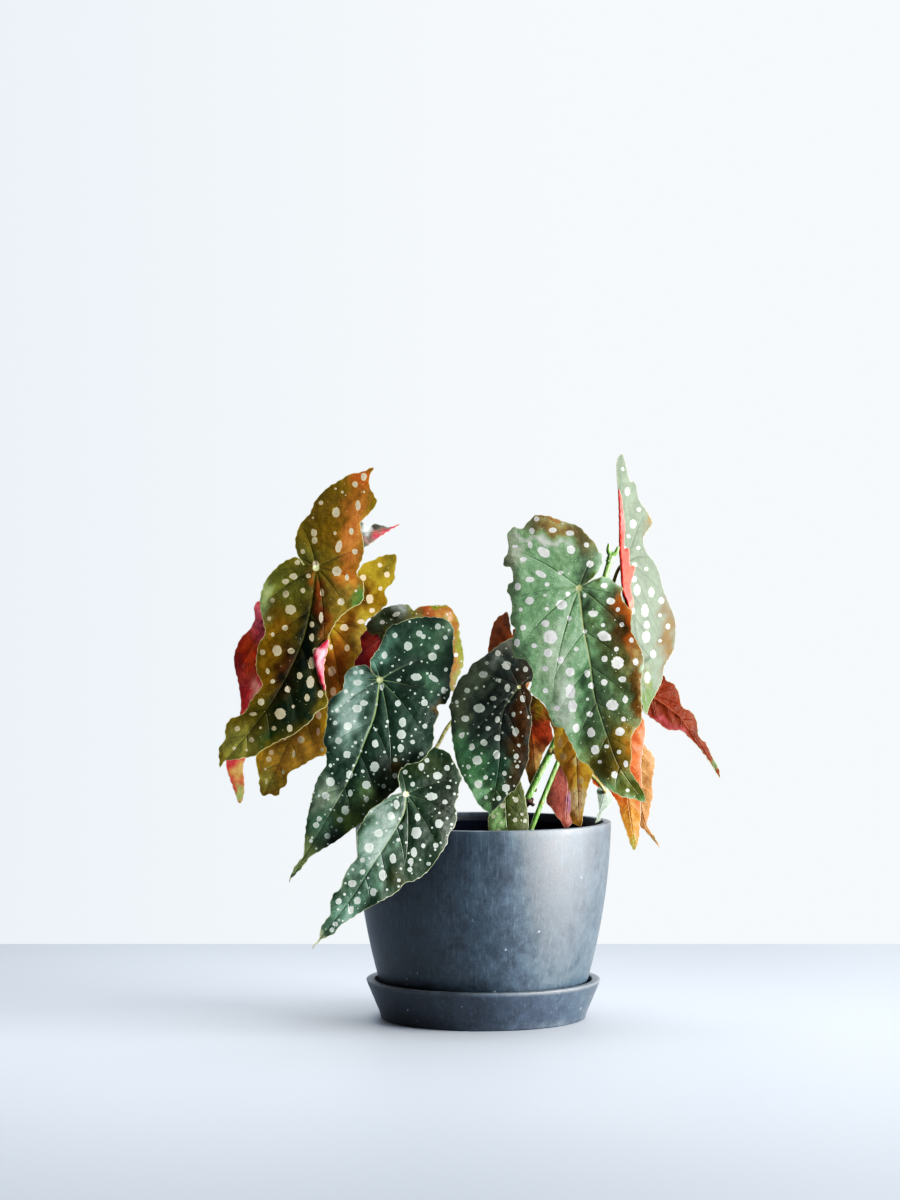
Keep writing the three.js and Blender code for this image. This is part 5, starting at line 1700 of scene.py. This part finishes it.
floor = POT_FOOT + POT_FLOOR + SOIL_GAP
side = [(pot_radius(h) - POT_WALL - SOIL_GAP, h) for h in np.linspace(floor, SOIL_EDGE, 12)]
soil_radius = side[-1][0]
top_rings = np.linspace(soil_radius - 1.5, 0, 46)
crown = [(r, SOIL_EDGE + (SOIL_CROWN - SOIL_EDGE) * (1 - (r / soil_radius) ** 2)) for r in top_rings[:-1]]
soil = turned("soil_body", [(0, side[0][1]), *side, *crown, (0, SOIL_CROWN)], soil_material)
for vertex in soil.data.vertices:
    x, y, z = vertex.co / MM
    if z > SOIL_EDGE - 0.5:
        fade = min(1, (soil_radius - math.hypot(x, y)) / 4)
        rough = math.sin(x * 0.9 + 2 * math.sin(y * 0.53)) + math.sin(y * 1.1 + 2 * math.sin(x * 0.61))
        vertex.co.z += CLODS * fade * rough * MM
stand_for(soil, "soil")
print("soil", triangles(soil), "triangles")

# %% Loose crumbs as a Geometry Nodes tree
FLATTEST = (0.7, 0.5, 0.35)
FULLEST = (1.3, 1.0, 0.7)
SPIN = (0.6, 0.6, 3.1)


def crumb_tree():
    """Scatters small lumps over a surface."""
    group, given = new_tree("crumb_scatter", ("Density", "Smallest", "Largest"), "Seed")
    spread = put(group, "GeometryNodeDistributePointsOnFaces", {
        "Mesh": given["Geometry"], "Density": given["Density"], "Seed": given["Seed"]})
    lump = put(group, "GeometryNodeMeshIcoSphere", {"Radius": 1.0, "Subdivisions": 2})
    rough = put(group, "ShaderNodeTexNoise", {"Scale": 1.4})
    moved = put(group, "ShaderNodeVectorMath", {0: rough.outputs["Color"], 1: (0.5, 0.5, 0.5)},
                operation="SUBTRACT")
    lumpy = put(group, "GeometryNodeSetPosition", {"Geometry": lump.outputs[0], "Offset": moved.outputs[0]})
    size = put(group, "FunctionNodeRandomValue", {
        2: given["Smallest"], 3: given["Largest"], "Seed": given["Seed"]}, data_type="FLOAT")
    squash = put(group, "FunctionNodeRandomValue", {
        0: FLATTEST, 1: FULLEST, "Seed": 5}, data_type="FLOAT_VECTOR")
    scale = put(group, "ShaderNodeVectorMath", {0: squash.outputs[0], "Scale": size.outputs[1]},
                operation="SCALE")
    spin = put(group, "FunctionNodeRandomValue", {
        0: tuple(-angle for angle in SPIN), 1: SPIN, "Seed": 9}, data_type="FLOAT_VECTOR")
    copies = put(group, "GeometryNodeInstanceOnPoints", {
        "Points": spread.outputs["Points"], "Instance": lumpy.outputs[0],
        "Rotation": spin.outputs[0], "Scale": scale.outputs[0]})
    return end_tree(group, copies.outputs[0], given["Material"])


CRUMBS = crumb_tree()

# %% Bark and perlite
DISC_SIDES = 64
disc_radius = soil_radius - 3


def scatter(name, density, smallest, largest, seed, material):
    """Crumbs over a plain disc at the soil's height."""
    ring = [(disc_radius * math.cos(a) * MM, disc_radius * math.sin(a) * MM, (SOIL_EDGE + 0.6) * MM)
            for a in np.linspace(0, 2 * math.pi, DISC_SIDES, endpoint=False)]
    ground = new_piece(f"{name}_ground", [*ring, (0, 0, (SOIL_CROWN + 0.4) * MM)],
                       [(i, (i + 1) % DISC_SIDES, DISC_SIDES) for i in range(DISC_SIDES)], material)
    piece = run_tree(ground, CRUMBS, {
        "Density": density, "Smallest": smallest * MM, "Largest": largest * MM, "Seed": seed,
        "Material": material}, name)
    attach(piece, "root")
    print(name, triangles(piece), "triangles")


scatter("bark_crumbs", 70000, 0.5, 1.9, 3, bark_material)
scatter("perlite_grains", 7000, 0.5, 1.3, 4, perlite_material)

# %% [markdown]
# ## Bracts
# Dry papery scales that once wrapped a shoot still cling to two joints. They are small enough
# to be cut and bent like a blade, with a dry finish of their own.

# %% Bracts
BRACT_SPACING = 0.6
BRACT_HALF = 0.15
BRACT_SEED = 300
BRACTS = {
    "bract_low": dict(heart=(531, 798), tip=(530, 809), rib="531,803", depths=(-27.3, -27.3), turn=0,
                      bow=0.5, wings=0.2, skin="3a2114", outline="""524.5,800 527,798.5
                      529.5,799.5 531.5,797 534,799 533,802 535.5,804.5 532.5,806.5 530,805.5 527.5,808
                      526.5,804.5 527.5,802.5"""),
    "bract_high": dict(heart=(551, 749), tip=(556, 757), rib="553,752", depths=(-25.6, -25.6), turn=0,
                       bow=0.5, wings=0.2, skin="8c8a50", outline="""547.5,750 550,747
                       553,749 556,746.5 558,751.5 556,756.5 553,753.5 551,755.5"""),
}
for number, (name, bract) in enumerate(BRACTS.items()):
    plane, _, points, faces, _, _ = cut_sheet(bract, BRACT_SPACING, BRACT_SEED + number)
    crumple = 0.9 * np.sin(points[:, 0] * 1.1 + number) * np.sin(points[:, 1] * 0.9) - 0.5
    middle = plane.bend(points, crumple)
    half = plane.normal * BRACT_HALF
    dry = ground_material(f"dry_{name}", "24140c", bract["skin"], 420.0, 0.8)
    stand_for(shell(f"scale_{name}", middle + half, middle - half, faces, dry), name)
print(len(BRACTS), "bracts")

# %% [markdown]
# ## Finish

# %% End
print("all pieces built")
